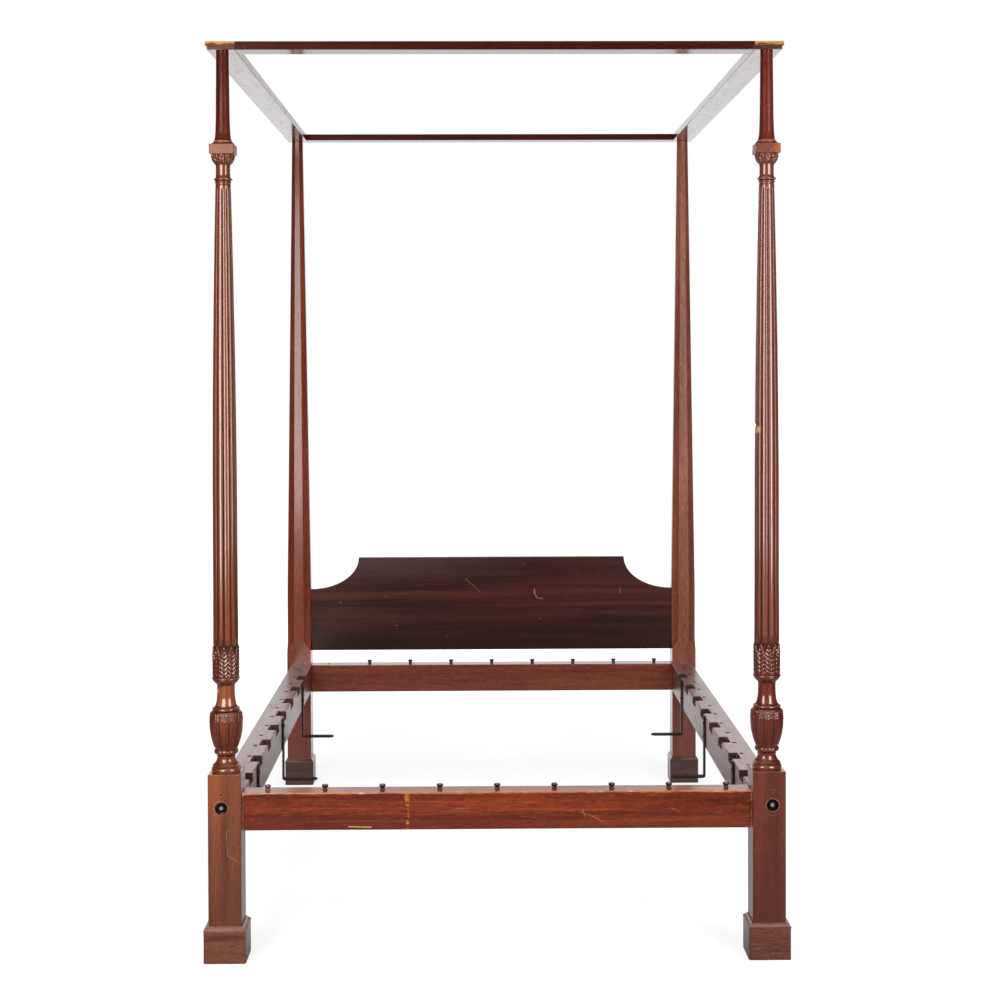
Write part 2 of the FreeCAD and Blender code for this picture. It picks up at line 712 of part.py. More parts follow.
# Headboard: a plank with hollow quarter-oval shoulders and tongues that enter the head posts
clear_width = "post_spacing_x - leg_width"
plank = box("headboard_plank", clear_width + " + 2 * headboard_tongue", "headboard_thickness",
            "headboard_height", "0", post_y["head"], "leg_height")
headboard_top = "leg_height + headboard_height"
hollows = []
for side in ("left", "right"):
    sign = side_sign[side]
    oval = doc.addObject("Part::Ellipse", "shoulder_oval_" + side)
    bind(oval, MajorRadius="shoulder_run", MinorRadius="shoulder_drop")
    place(oval, "%d * (%s) / 2" % (sign, clear_width), post_y["head"] + " + headboard_thickness",
          headboard_top, axis_turns["-Y"])
    hollow = doc.addObject("Part::Extrusion", "shoulder_hollow_" + side)
    hollow.Base = oval
    hollow.DirMode = "Custom"
    hollow.Dir = FreeCAD.Vector(0, -1, 0)
    hollow.Solid = True
    bind(hollow, LengthFwd="2 * headboard_thickness")
    hollows.append(hollow)
    tongue_x = "%d * ((%s) / 2 + headboard_tongue)" % (sign, clear_width)
    hollows.append(box("tongue_top_" + side, "2 * headboard_tongue", "2 * headboard_thickness",
                       "shoulder_drop", tongue_x, post_y["head"], headboard_top + " - shoulder_drop"))
subpart(cut("headboard", plank, hollows), "headboard")

# Foot and head rails with their holes for rope pegs
end_rail_length = "post_spacing_x - leg_width"
peg_places = even_places(int(value_of("peg_count")), end_rail_length + " - 2 * peg_end_gap")
end_rail_offset = "end_rail_setback + end_rail_thickness / 2 - leg_width / 2"
half_turn = FreeCAD.Rotation(FreeCAD.Vector(0, 0, 1), 180)
peg_master = rope_peg()
for end in ("foot", "head"):
    holes = [cylinder("%s_peg_hole_%d" % (end, number), "peg_diameter + 2 * fit_gap", "peg_depth", x, "0",
                      rail_top + " - peg_depth") for number, x in enumerate(peg_places)]
    end_rail = rail(end + "_rail", end_rail_length, "end_rail_thickness", "0", end_bolt_height, holes)
    rail_y = "%s + %d * (%s)" % (post_y[end], inward_y[end], end_rail_offset)
    subpart(place(end_rail, "0", rail_y, turn=None if end == "foot" else half_turn), end + "_rail")
    standing = peg_places if end == "foot" else peg_places[1:]
    pegs = [copy_of("%s_peg_%d" % (end, number), peg_master, x, rail_y, rail_top + " - peg_depth")
            for number, x in enumerate(standing)]
    subpart(group(end + "_rail_pegs", pegs), end + "_rail_pegs")

# Side rails with their notches, peg stubs and irons
side_rail_length = "post_spacing_y - leg_width"
side_rail_offset = "leg_width / 2 - side_rail_setback - side_rail_thickness / 2"
side_bolt_across = side_rail_offset + " - side_bolt_outset"
inner_face = "side_rail_thickness / 2"
stub_places = even_places(int(value_of("stub_count")), side_rail_length + " - 2 * stub_end_gap")
notch_run = "post_spacing_y - notch_first - notch_last"
notch_middle = "(post_spacing_y + notch_first - notch_last) / 2"
notch_places = ["%s + %s" % (notch_middle, offset)
                for offset in even_places(int(value_of("notch_count")), notch_run)]
iron_run = "post_spacing_y - iron_first - iron_last"
iron_middle = "(post_spacing_y + iron_first - iron_last) / 2"
iron_places = ["%s + %s" % (iron_middle, offset)
               for offset in even_places(int(value_of("iron_count")), iron_run)]
iron_master = bed_iron()
screw_master = iron_screw()
screws = []
for side in ("left", "right"):
    sign = side_sign[side]
    quarter_turn = FreeCAD.Rotation(FreeCAD.Vector(0, 0, 1), 90 * sign)

    def along(distance):
        """Where a distance behind the foot post's axis falls along this rail's own X."""
        return "%d * (%s - post_spacing_y / 2)" % (sign, distance)

    tools = []
    for number, distance in enumerate(notch_places):
        tools.append(box("%s_notch_%d" % (side, number), "notch_length", "2 * notch_width", "2 * notch_depth",
                         along(distance), inner_face, rail_top + " - notch_depth"))
    for number, x in enumerate(stub_places):
        tools.append(cylinder("%s_stub_hole_%d" % (side, number), "peg_diameter + 2 * fit_gap", "peg_depth",
                              x, "0", rail_top + " - peg_depth"))
    rail_x = "%d * (post_spacing_x / 2 + %s)" % (sign, side_rail_offset)
    face_x = "%d * (post_spacing_x / 2 + %s - %s)" % (sign, side_rail_offset, inner_face)
    iron_z = rail_top + " - iron_drop"
    for number, distance in enumerate(iron_places):
        iron_y = "%s + %s" % (post_y["foot"], distance)
        name = "%s_iron_%d" % (side, number + 1)
        subpart(copy_of(name, iron_master, face_x, iron_y, iron_z, quarter_turn), name)
        for row in range(screw_rows):
            screw_z = "%s - screw_first - %d * screw_pitch" % (rail_top, row)
            pilot_depth = "screw_length - iron_thickness + fit_gap"
            tools.append(cylinder("%s_pilot_%d" % (name, row), "screw_diameter + 2 * fit_gap", pilot_depth,
                                  along(distance), inner_face, screw_z, "-Y"))
            screw_x = "%s + %d * (screw_length - iron_thickness)" % (face_x, sign)
            screws.append(copy_of("%s_screw_%d" % (name, row), screw_master, screw_x, iron_y, screw_z,
                                  axis_turns["-X" if sign > 0 else "+X"]))
    side_rail = rail("side_rail_" + side, side_rail_length, "side_rail_thickness", side_bolt_across,
                     side_bolt_height, tools)
    subpart(place(side_rail, rail_x, end_centre, turn=quarter_turn), "side_rail_" + side)
    stubs = [cylinder("%s_stub_%d" % (side, number), "peg_diameter", "peg_depth",
                      rail_x, "%s + %s" % (end_centre, y), rail_top + " - peg_depth")
             for number, y in enumerate(stub_places)]
    subpart(group("side_rail_stubs_" + side, stubs), "side_rail_stubs_" + side)
subpart(group("iron_screws", screws), "iron_screws")

# Bed bolts and their square nuts
bolt_master = bed_bolt()
nut_master = cut("bed_nut", box("nut_block", "nut_width", "nut_width", "nut_thickness"),
                 [cylinder("nut_hole", "bolt_diameter + 2 * fit_gap", "nut_thickness")])
bolts = {"side": [], "end": []}
nuts = {"side": [], "end": []}
bolt_tip = "leg_width / 2 - counterbore_depth - bolt_length"
nut_near = "-leg_width / 2 - nut_inset - nut_thickness / 2"
bolt_kinds = (("bolt", bolt_master, bolt_tip, bolts), ("nut", nut_master, nut_near, nuts))
for end in ("foot", "head"):
    in_y = inward_y[end]
    out_y = axis_turns["-Y" if in_y > 0 else "+Y"]
    for side in ("left", "right"):
        sign = side_sign[side]
        out_x = axis_turns["+X" if sign > 0 else "-X"]
        bolt_x = "%s + %d * side_bolt_outset" % (post_x[side], sign)
        bolt_y = "%s + %d * (%s)" % (post_y[end], in_y, end_rail_offset)
        for kind, master, depth, pieces in bolt_kinds:
            name = "%s_%s_%s" % (end, side, kind)
            from_y = "%s + %d * (%s)" % (post_y[end], -in_y, depth)
            from_x = "%s + %d * (%s)" % (post_x[side], sign, depth)
            pieces["side"].append(copy_of(name + "_side", master, bolt_x, from_y, side_bolt_height, out_y))
            pieces["end"].append(copy_of(name + "_end", master, from_x, bolt_y, end_bolt_height, out_x))
for kind in ("side", "end"):
    subpart(group(kind + "_rail_bolts", bolts[kind]), kind + "_rail_bolts")
    subpart(group(kind + "_rail_nuts", nuts[kind]), kind + "_rail_nuts")

# Tester frame: four boards, half-lapped at the corners over the pins
lap = "tester_thickness / 2"
cross_length = "post_spacing_x + tester_width + 2 * tester_overhang"
long_length = "post_spacing_y + tester_width"
pin_hole_width = "pin_diameter + 2 * pin_gap"
pin_length = "pin_depth + tester_thickness + pin_proud"
pins = []
for end in ("foot", "head"):
    board = box("tester_%s_blank" % end, cross_length, "tester_width", "tester_thickness",
                "0", post_y[end], post_top)
    tools = []
    for side in ("left", "right"):
        corner = "%s_%s" % (end, side)
        reach = "tester_width + tester_overhang + fit_gap"
        lap_x = "%d * (post_spacing_x / 2 - tester_width / 2 - fit_gap + (%s) / 2)" % (side_sign[side], reach)
        tools.append(box("cross_lap_" + corner, reach, "tester_width", lap, lap_x, post_y[end], post_top))
        tools.append(cylinder("cross_hole_" + corner, pin_hole_width, "tester_thickness",
                              post_x[side], post_y[end], post_top))
        pins.append(cylinder("pin_" + corner, "pin_diameter", pin_length,
                             post_x[side], post_y[end], post_top + " - pin_depth"))
    subpart(cut("tester_%s_rail" % end, board, tools), "tester_%s_rail" % end)
for side in ("left", "right"):
    board = box("tester_%s_blank" % side, "tester_width", long_length, "tester_thickness",
                post_x[side], end_centre, post_top)
    tools = []
    for end in ("foot", "head"):
        corner = "%s_%s" % (end, side)
        lap_y = "%s + %d * fit_gap / 2" % (post_y[end], inward_y[end])
        tools.append(box("long_lap_" + corner, "tester_width", "tester_width + fit_gap", lap,
                         post_x[side], lap_y, "%s + %s" % (post_top, lap)))
        tools.append(cylinder("long_hole_" + corner, pin_hole_width, "tester_thickness",
                              post_x[side], post_y[end], post_top))
    subpart(cut("tester_%s_rail" % side, board, tools), "tester_%s_rail" % side)
subpart(group("tester_pins", pins), "tester_pins")

sheet.clear("D1")
doc.recompute()

# Every object has to be sound before anything is written
for item in doc.Objects:
    if "Invalid" in item.State or "Error" in item.State:
        raise RuntimeError("%s did not build: %s" % (item.Name, item.State))
shapes = {item.Label: Part.getShape(item) for item in subparts}
for label, shape in shapes.items():
    if shape.isNull() or not shape.isValid() or not shape.Solids:
        raise RuntimeError("%s has no sound solid" % label)
os.makedirs("parts", exist_ok=True)
for label, shape in shapes.items():
    shape.exportStep("parts/%s.step" % label)
    print(label, len(shape.Solids), "solids", round(shape.Volume), "cubic mm")
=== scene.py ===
import math

import bmesh
import bpy
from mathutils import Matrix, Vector, noise


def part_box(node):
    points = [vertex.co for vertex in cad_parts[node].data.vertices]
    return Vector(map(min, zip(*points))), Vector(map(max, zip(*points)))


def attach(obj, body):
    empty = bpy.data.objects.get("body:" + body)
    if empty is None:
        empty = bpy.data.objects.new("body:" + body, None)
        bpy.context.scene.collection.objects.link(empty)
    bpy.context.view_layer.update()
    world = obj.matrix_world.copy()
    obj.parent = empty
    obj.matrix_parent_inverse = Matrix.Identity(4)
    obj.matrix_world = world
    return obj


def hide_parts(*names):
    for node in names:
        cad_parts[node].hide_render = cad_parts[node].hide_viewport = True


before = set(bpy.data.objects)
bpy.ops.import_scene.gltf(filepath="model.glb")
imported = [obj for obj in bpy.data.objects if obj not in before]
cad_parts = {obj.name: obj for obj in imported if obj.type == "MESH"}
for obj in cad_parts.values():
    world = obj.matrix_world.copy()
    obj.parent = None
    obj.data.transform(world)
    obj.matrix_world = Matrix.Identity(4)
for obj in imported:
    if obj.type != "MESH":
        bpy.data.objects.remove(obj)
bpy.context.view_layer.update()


# Foot posts: two posts of dense red mahogany, each one length of wood, left square below for the rail
# joints and turned above. The water leaves, the reeds and the capital are cut by hand on the turning.
# The turning's sizes are in millimetres, as they would be marked off at the lathe, and the rest in metres.
MILLIMETRE = 0.001
ACROSS_BED, ALONG_BED, UPRIGHT = range(3)
carving_turns = {"left": 0, "right": math.radians(-1.1)}
turning_steps = 200
leaf_count = 10
leaf_turn = 2 * math.pi / leaf_count
leg_top = 511
collar_start = 563
vase_start = 574
vase_tips = 652
vase_end = 677
vase_leaf_half = 14
cup_start = 770
cup_radius = 34
cup_leaf_half = 11
tip_start = 816
tip_end = 857
reed_end = 2102
capital_start = 2163
capital_leaf_half = 9
block_low = 2191
block_high = 2217.6
block_width = 67
valley_reach = 0.97
chip_height = 1451
chip_depth = 5.0
waver_depth = 0.2
waver_pitch = 0.09
dark_leaf_depth = 2.0
dark_reed_depth = 3.0
crevice_reach = 6
crevice_slack = 1.5
crevice_depth = 6


def shade(red, green, blue):
    """A colour in the 0 to 255 steps of a screen, as a linear colour."""
    parts = [part / 255 for part in (red, green, blue)]
    linear = [((part + 0.055) / 1.055) ** 2.4 if part > 0.04 else part / 12.92 for part in parts]
    return (*linear, 1.0)


class Field:
    """One output of a finish's nodes. A sum written with it adds the Math nodes."""

    def __init__(self, finish, socket):
        self.finish = finish
        self.socket = socket

    def sum(self, operation, first, second=0.0):
        return self.finish.node("ShaderNodeMath", {"operation": operation}, {0: first, 1: second})

    def __add__(self, other):
        return self.sum("ADD", self, other)

    def __sub__(self, other):
        return self.sum("SUBTRACT", self, other)

    def __rsub__(self, other):
        return self.sum("SUBTRACT", other, self)

    def __mul__(self, other):
        return self.sum("MULTIPLY", self, other)

    def __abs__(self):
        return self.sum("ABSOLUTE", self)

    def root(self):
        return self.sum("SQRT", self)

    __radd__ = __add__
    __rmul__ = __mul__


class Finish:
    """A material whose nodes are added one call at a time, in the bed's own coordinates."""

    def __init__(self, name):
        self.material = bpy.data.materials.new(name)
        self.material.use_nodes = True
        self.tree = self.material.node_tree
        self.shader = self.tree.nodes["Principled BSDF"]
        self.place = self.node("ShaderNodeTexCoord", output="Object")
        parts = self.node("ShaderNodeSeparateXYZ", {}, {"Vector": self.place}).socket.node
        self.x, self.y, self.z = (Field(self, socket) for socket in parts.outputs)

    def node(self, kind, settings=None, sockets=None, output=0):
        """One node with its settings and the values or links of its sockets."""
        node = self.tree.nodes.new(kind)
        for name, value in (settings or {}).items():
            setattr(node, name, value)
        for name, value in (sockets or {}).items():
            self.feed(node.inputs[name], value)
        return Field(self, node.outputs[output])

    def feed(self, socket, value):
        if isinstance(value, Field):
            self.tree.links.new(value.socket, socket)
        else:
            socket.default_value = value

    def noise(self, stretch, detail=4.0, roughness=0.6, shift=0.0):
        """A noise pattern with its own frequency, per metre, along each axis."""
        place = self.node("ShaderNodeMapping", {}, {"Vector": self.place, "Scale": stretch,
                                                    "Location": (shift, shift * 0.7, shift * 1.3)})
        return self.node("ShaderNodeTexNoise", {}, {"Vector": place, "Scale": 1.0, "Detail": detail,
                                                    "Roughness": roughness})

    def rise(self, value, low, high):
        """0 below low, 1 above high, and a smooth slope between them."""
        return self.node("ShaderNodeMapRange", {"interpolation_type": "SMOOTHSTEP"},
                         {"Value": value, "From Min": low, "From Max": high})

    def band(self, value, low, high, soft):
        """1 between low and high, with soft edges."""
        return self.rise(value, low - soft, low + soft) * (1 - self.rise(value, high - soft, high + soft))

    def blend(self, share, first, second, style="MIX"):
        return self.node("ShaderNodeMix", {"data_type": "RGBA", "blend_type": style},
                         {0: share, 6: first, 7: second}, output=2)

    def scratch(self, across, up, start, end, width):
        """A thin straight mark from start to end on the plane of two coordinates."""
        length = math.dist(start, end)
        cosine = (end[0] - start[0]) / length
        sine = (end[1] - start[1]) / length
        along = (across - start[0]) * cosine + (up - start[1]) * sine
        aside = (up - start[1]) * cosine - (across - start[0]) * sine
        return (1 - self.rise(abs(aside), width * 0.3, width)) * self.band(along, 0, length, width)

    def reach(self, across, up, centre):
        """The distance from a centre on the plane of two coordinates."""
        aside = across - centre[0]
        above = up - centre[1]
        return (aside * aside + above * above).root()

    def dress(self, *pieces):
        for piece in pieces:
            piece.data.materials.clear()
            piece.data.materials.append(self.material)


class Wood(Finish):
    """Old polished mahogany with its grain along one axis of the bed. Marks, wear, and in places painted
    shade and highlights, are laid over it.
    """

    cloud_pitch = (0.8, 5.0)
    grain_pitch = (1.3, 34.0)
    fibre_pitch = (6.0, 260.0)
    pore_pitch = (16.0, 420.0)
    speckle_pitch = (50.0, 170.0)
    sound_rough = 0.34
    relief_depth = 0.0006
    varnish_tint = shade(255, 214, 196)

    def __init__(self, name, grain, deep, bright, shift=0.0):
        super().__init__(name)
        self.grain = grain
        cloud = self.noise(self.stretched(*self.cloud_pitch), detail=3.0, roughness=0.55, shift=shift + 3.1)
        streak = self.noise(self.stretched(*self.grain_pitch), detail=6.0, roughness=0.65, shift=shift)
        fibre = self.noise(self.stretched(*self.fibre_pitch), detail=3.0, shift=shift + 7.7)
        pore = self.noise(self.stretched(*self.pore_pitch), detail=2.0, roughness=0.5, shift=shift + 5.3)
        tone = self.rise(streak * 0.6 + cloud * 0.4, 0.36, 0.64)
        self.colour = self.blend(tone, deep, bright)
        self.colour = self.blend(self.rise(fibre, 0.35, 0.7) * 0.35, self.colour, bright)
        pores = self.rise(pore, 0.58, 0.70)
        dark = tuple(part * 0.35 for part in deep[:3]) + (1.0,)
        self.colour = self.blend(pores * 0.55, self.colour, dark)
        speckle = self.noise(self.stretched(*self.speckle_pitch), roughness=0.72, shift=shift + 1.9)
        self.colour = self.blend(self.rise(speckle, 0.53, 0.70) * 0.55, self.colour, dark)
        light = tuple(min(1.0, part * 1.7) for part in bright[:3]) + (1.0,)
        self.colour = self.blend((1 - self.rise(speckle, 0.30, 0.45)) * 0.45, self.colour, light)
        self.rough = self.sound_rough + (streak - 0.5) * 0.25 + pores * 0.15
        self.relief = streak * 0.4 + fibre * 0.3 - pores

    def stretched(self, along, across):
        """Noise frequencies with one value along the grain and another across it."""
        return tuple(along if axis == self.grain else across for axis in range(3))

    def lay(self, mask, colour, rough=None):
        """Lays a colour, and if need be a dull surface, over the wood where the mask is 1."""
        self.colour = self.blend(mask, self.colour, colour)
        if rough is not None:
            self.rough = self.rough + mask * (rough - self.sound_rough)

    def polish(self, coat=0.9, coat_rough=0.16, bump=0.25, gloss=0.5, dull=0.0, coat_index=1.5, index=1.5):
        """Closes the finish with its varnish, which thins away to nothing where dull is 1; on the carved
        posts that includes the painted shade of the hollows.
        """
        self.shader.inputs["IOR"].default_value = index
        normal = self.node("ShaderNodeBump", {},
                           {"Strength": bump, "Distance": self.relief_depth, "Height": self.relief})
        self.feed(self.shader.inputs["Base Color"], self.colour)
        self.feed(self.shader.inputs["Roughness"], self.rough)
        self.feed(self.shader.inputs["Normal"], normal)
        self.feed(self.shader.inputs["Coat Weight"], coat - dull * coat)
        self.shader.inputs["Coat IOR"].default_value = coat_index
        self.shader.inputs["Coat Roughness"].default_value = coat_rough
        self.shader.inputs["Specular IOR Level"].default_value = gloss
        self.shader.inputs["Specular Tint"].default_value = self.varnish_tint
        return self


def swell(start, end, bow, steps):
    """A turned stretch between two (radius, height) points that bows out, or in, at its middle."""
    points = []
    for step in range(steps):
        share = step / steps
        radius = start[0] + (end[0] - start[0]) * share + bow * 4 * share * (1 - share)
        points.append((radius, start[1] + (end[1] - start[1]) * share))
    return points


def bead(radius, low, high, bow, steps=8):
    """A half-round turned moulding that stands out by bow."""
    points = []
    for step in range(steps + 1):
        turn = math.pi * (step / steps - 0.5)
        points.append((radius + bow * math.cos(turn),
                       (low + high) / 2 + (high - low) / 2 * math.sin(turn)))
    return points


def spun(outline, steps):
    """A closed turned shape, in millimetres, from the points of its outline."""
    shape = bmesh.new()
    corners = [shape.verts.new((radius, 0, height)) for radius, height in outline]
    chain = [shape.edges.new(pair) for pair in zip(corners, corners[1:])]
    bmesh.ops.spin(shape, geom=corners + chain, cent=(0, 0, 0), axis=(0, 0, 1), angle=2 * math.pi,
                   steps=steps, use_merge=True)
    bmesh.ops.remove_doubles(shape, verts=shape.verts, dist=0.001)
    bmesh.ops.recalc_face_normals(shape, faces=shape.faces)
    for face in shape.faces:
        face.smooth = True
    return shape


def ramp(value, low, high):
    """0 below low, 1 above high, and a smooth slope between them."""
    share = min(1, max(0, (value - low) / (high - low)))
    return share * share * (3 - 2 * share)


def ridge(distance, width):
    """A narrow rounded ridge, 1 at its crest."""
    return math.exp(-(distance / width) ** 2)


def veins(place, spacing):
    """Sharp strokes of the gouge at an even spacing, 1 on a crest and 0 between two."""
    return (1 - abs((place / spacing) % 1 * 2 - 1)) ** 2.2


def reed_hollow(share):
    """How far a round reed falls away, from 0 at its crest to nearly 1 in the valley beside it."""
    valley = valley_reach * (1 - share)
    return 1 - math.sqrt(1 - valley * valley)


def vase_relief(height, share):
    """Water leaves on the vase: grooves between them, ribs, and slanting cuts at the tips."""
    aside = share * vase_leaf_half
    relief = 1.0 - share * share - 2.4 * ramp(share, 0.80, 1.0)
    relief -= 2.1 * ridge(aside - 4.2, width=1.7) + 1.5 * ridge(aside - 9.4, width=1.4)
    tip_place = vase_tips - 4 * share
    tip = ramp(height, tip_place, tip_place + 5)
    relief += (2.0 * veins(height + 1.4 * aside, spacing=7.5) - 0.9 - 0.5 * relief) * tip
    begun = ramp(height, vase_start + 1, vase_start + 6)
    ended = ramp(height, vase_end - 5, vase_end)
    return relief * begun * (1 - ended)


def cup_relief(height, share):
    """Upright leaves on the cup, with veins that rise from the rib, narrowing to points over the reeds."""
    leaf_width = 1 - max(0, (height - tip_start) / (tip_end - tip_start)) ** 1.7
    aside = share * cup_leaf_half
    behind = -1.6 - 0.2 * cup_radius * reed_hollow(share) * ramp(height, tip_start, tip_start + 12)
    leaf = 0.9 - 0.9 * share * share - 1.1 * ridge(aside, width=1.0)
    leaf += 1.8 * (veins(height - 1.2 * aside, spacing=11.5) - 0.35) * ramp(aside, 0.8, 2.4)
    leaf -= 2.2 * ramp(share, 0.86, 1.0)
    rolled_edge = (share - leaf_width + 0.12) * cup_leaf_half
    leaf += ridge(rolled_edge, width=1.1) * ramp(height, tip_start - 14, tip_start)
    outside = ramp(share, leaf_width - 0.03, leaf_width + 0.06) if leaf_width < 1 else 0
    return (leaf + (behind - leaf) * outside) * ramp(height, cup_start, cup_start + 4)


def reed_relief(radius, height, share):
    """Ten half-round reeds with narrow valleys, rounded off where they end under the capital."""
    depth = 0.13 * radius * reed_hollow(share)
    depth += 0.045 * radius * ridge(share, width=0.15)
    return -depth * (1 - ramp(height, reed_end - 9, reed_end))


def capital_relief(height, share):
    """Short feathered leaves that swell out under the square block."""
    aside = share * capital_leaf_half
    relief = 0.6 - 0.8 * share * share - 2.4 * ramp(share, 0.74, 1.0) - 0.9 * ridge(aside, width=0.9)
    relief += 2.0 * (veins(height - 1.3 * aside, spacing=9.5) - 0.45)
    return relief * ramp(height, capital_start, capital_start + 6)


def carve(shape, outline, turn, chipped):
    """Cuts the leaves and reeds into a turned post. The 'hollow' layer notes how deep each point lies and
    how far it sits under a fuller moulding nearby, for painted shade.
    """
    hollow = shape.verts.layers.float["hollow"]
    fullest = {}
    for point in shape.verts:
        radius = math.hypot(point.co.x, point.co.y)
        if radius < 1:
            continue
        height = point.co.z
        angle = math.atan2(point.co.y, point.co.x) - turn
        share = abs((angle / leaf_turn) % 1 * 2 - 1)
        relief = waver_depth * noise.noise(point.co * waver_pitch)
        full_depth = dark_leaf_depth
        if collar_start < height < vase_start:
            relief -= 2.0 * share ** 3 * ramp(height, collar_start, collar_start + 6)
        elif vase_start < height < vase_end + 0.2:
            relief += vase_relief(height, share)
        elif cup_start < height < tip_end:
            relief += cup_relief(height, share)
        elif tip_end <= height < reed_end:
            relief += reed_relief(radius, height, share)
            full_depth = dark_reed_depth
        elif capital_start < height < block_low:
            relief += capital_relief(height, share)
        if chipped:
            chip_aside = abs(angle + turn) - math.pi
            relief -= chip_depth * ridge(height - chip_height, width=4.5) * ridge(chip_aside, width=0.4)
        point.co.xy *= (radius + relief) / radius
        row = round(height, 2)
        if row not in fullest:
            fullest[row] = max(other for other, level in outline if abs(level - height) < crevice_reach)
        shaded = (fullest[row] - radius - crevice_slack) / crevice_depth
        point[hollow] = min(1, max(0, (0.1 - relief) / full_depth, shaded))


small_face = 0.0004
slight_bend = 0.05
sharp_bend = 0.7
smooth_limit = math.radians(35)


def merged_copy(node):
    """A CAD node's mesh with its loose triangles joined."""
    shape = bmesh.new()
    shape.from_mesh(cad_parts[node].data)
    bmesh.ops.remove_doubles(shape, verts=shape.verts, dist=0.00001)
    return shape


def curved(face):
    """Whether a face is one of the small facets of a rounded surface."""
    bends = [edge.calc_face_angle(0.0) for edge in face.edges]
    return face.calc_area() < small_face and any(slight_bend < bend < sharp_bend for bend in bends)


def plane_off(shape, place, outward):
    """Planes off what lies beyond a flat cut, and closes the cut."""
    cut = bmesh.ops.bisect_plane(shape, geom=shape.verts[:] + shape.edges[:] + shape.faces[:],
                                 plane_co=place, plane_no=outward, clear_outer=True)
    rim = [item for item in cut["geom_cut"] if isinstance(item, bmesh.types.BMEdge)]
    bmesh.ops.edgeloop_fill(shape, edges=rim)


def piece_from(shape, name):
    """A shown piece at the origin from a shape in metres."""
    mesh = bpy.data.meshes.new(name)
    shape.to_mesh(mesh)
    smooth = [face.smooth for face in shape.faces]
    shape.free()
    mesh.set_sharp_from_angle(angle=smooth_limit)
    mesh.polygons.foreach_set("use_smooth", smooth)
    piece = bpy.data.objects.new(name, mesh)
    bpy.context.collection.objects.link(piece)
    return piece


def stand_for(node, piece, body="bedstead"):
    """Lets a piece ride on its body in place of a CAD node."""
    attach(piece, body)
    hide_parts(node)


def axis_of(node):
    """The place on the floor below the middle of a CAD node."""
    low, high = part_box(node)
    return Vector(((low.x + high.x) / 2, (low.y + high.y) / 2, 0))


def set_up(shape, place):
    """Brings a turned shape from millimetres to metres, and to its place."""
    bmesh.ops.scale(shape, verts=shape.verts, vec=(MILLIMETRE,) * 3)
    bmesh.ops.translate(shape, verts=shape.verts, vec=place)


def join(shape, part):
    """Adds a part to a shape, and frees it."""
    mesh = bpy.data.meshes.new("part")
    part.to_mesh(mesh)
    part.free()
    shape.from_mesh(mesh)
    bpy.data.meshes.remove(mesh)


post_outline = (
    [(0, 505), (33, 505)]
    + bead(34, leg_top - 2, 526, 6)
    + [(35.4, 526.5), (37.3, 527.2), (37.3, 530), (34.6, 531)]
    + swell((33.8, 531.4), (25.2, 553), -2.8, 12)
    + [(25.2, 553), (25.5, 557.5), (27.4, 560)]
    + bead(29.6, 560.6, 572.6, 3.4, 10)
    + [(28.6, 573.6), (29.4, 574.2)]
    + swell((30.0, 574.8), (44.4, 645), 3.8, 48)
    + swell((44.4, 645), (43.7, 664), 0.7, 12)
    + swell((43.7, 664), (38.6, 677), 1.8, 14)
    + [(36.5, 677.4), (33.6, 677.8)]
    + bead(33.7, 678.2, 687.2, 3.6)
    + [(31.2, 687.6), (30.6, 688.4)]
    + swell((30.2, 688.7), (24.4, 722), -1.5, 14)
    + swell((24.4, 722), (24.4, 750), -0.3, 8)
    + [(24.4, 750), (26.2, 751.2)]
    + swell((27, 752), (36.0, 763.4), 1.2, 8)
    + [(36.2, 763.7), (35.6, 764.2)]
    + bead(36.4, 764.7, 769.4, 1.9)
    + [(34.4, 770)]
    + swell((34.8, 770.5), (34.6, tip_end), 0.3, 72)
    + swell((34.3, tip_end + 0.5), (33.4, 1000), 0.1, 6)
    + swell((33.4, 1000), (33.1, 1300), 0, 6)
    + swell((33.1, 1300), (32.0, 1434), 0.15, 4)
    + swell((32.0, 1434), (31.8, 1464), 0, 14)
    + swell((31.8, 1464), (30.1, 1629), 0.15, 4)
    + swell((30.1, 1629), (21.3, 2090), 0.6, 10)
    + swell((21.3, 2090), (20.9, reed_end), 0, 10)
    + swell((20.9, reed_end), (19.8, 2112), 0.5, 4)
    + bead(20.0, 2113, 2119, 2.2)
    + bead(22.4, 2120.4, 2126, 3.1)
    + swell((21.8, 2126.6), (19.5, 2136), -0.7, 6)
    + swell((19.5, 2136), (19.5, 2158), -0.1, 8)
    + swell((19.5, 2158), (21.0, 2164), -0.3, 4)
    + swell((21.0, 2164), (31.2, 2189.4), 3.1, 30)
    + [(31.2, 2189.4), (29.8, block_low), (29.8, block_low + 2), (0, block_low + 2)])

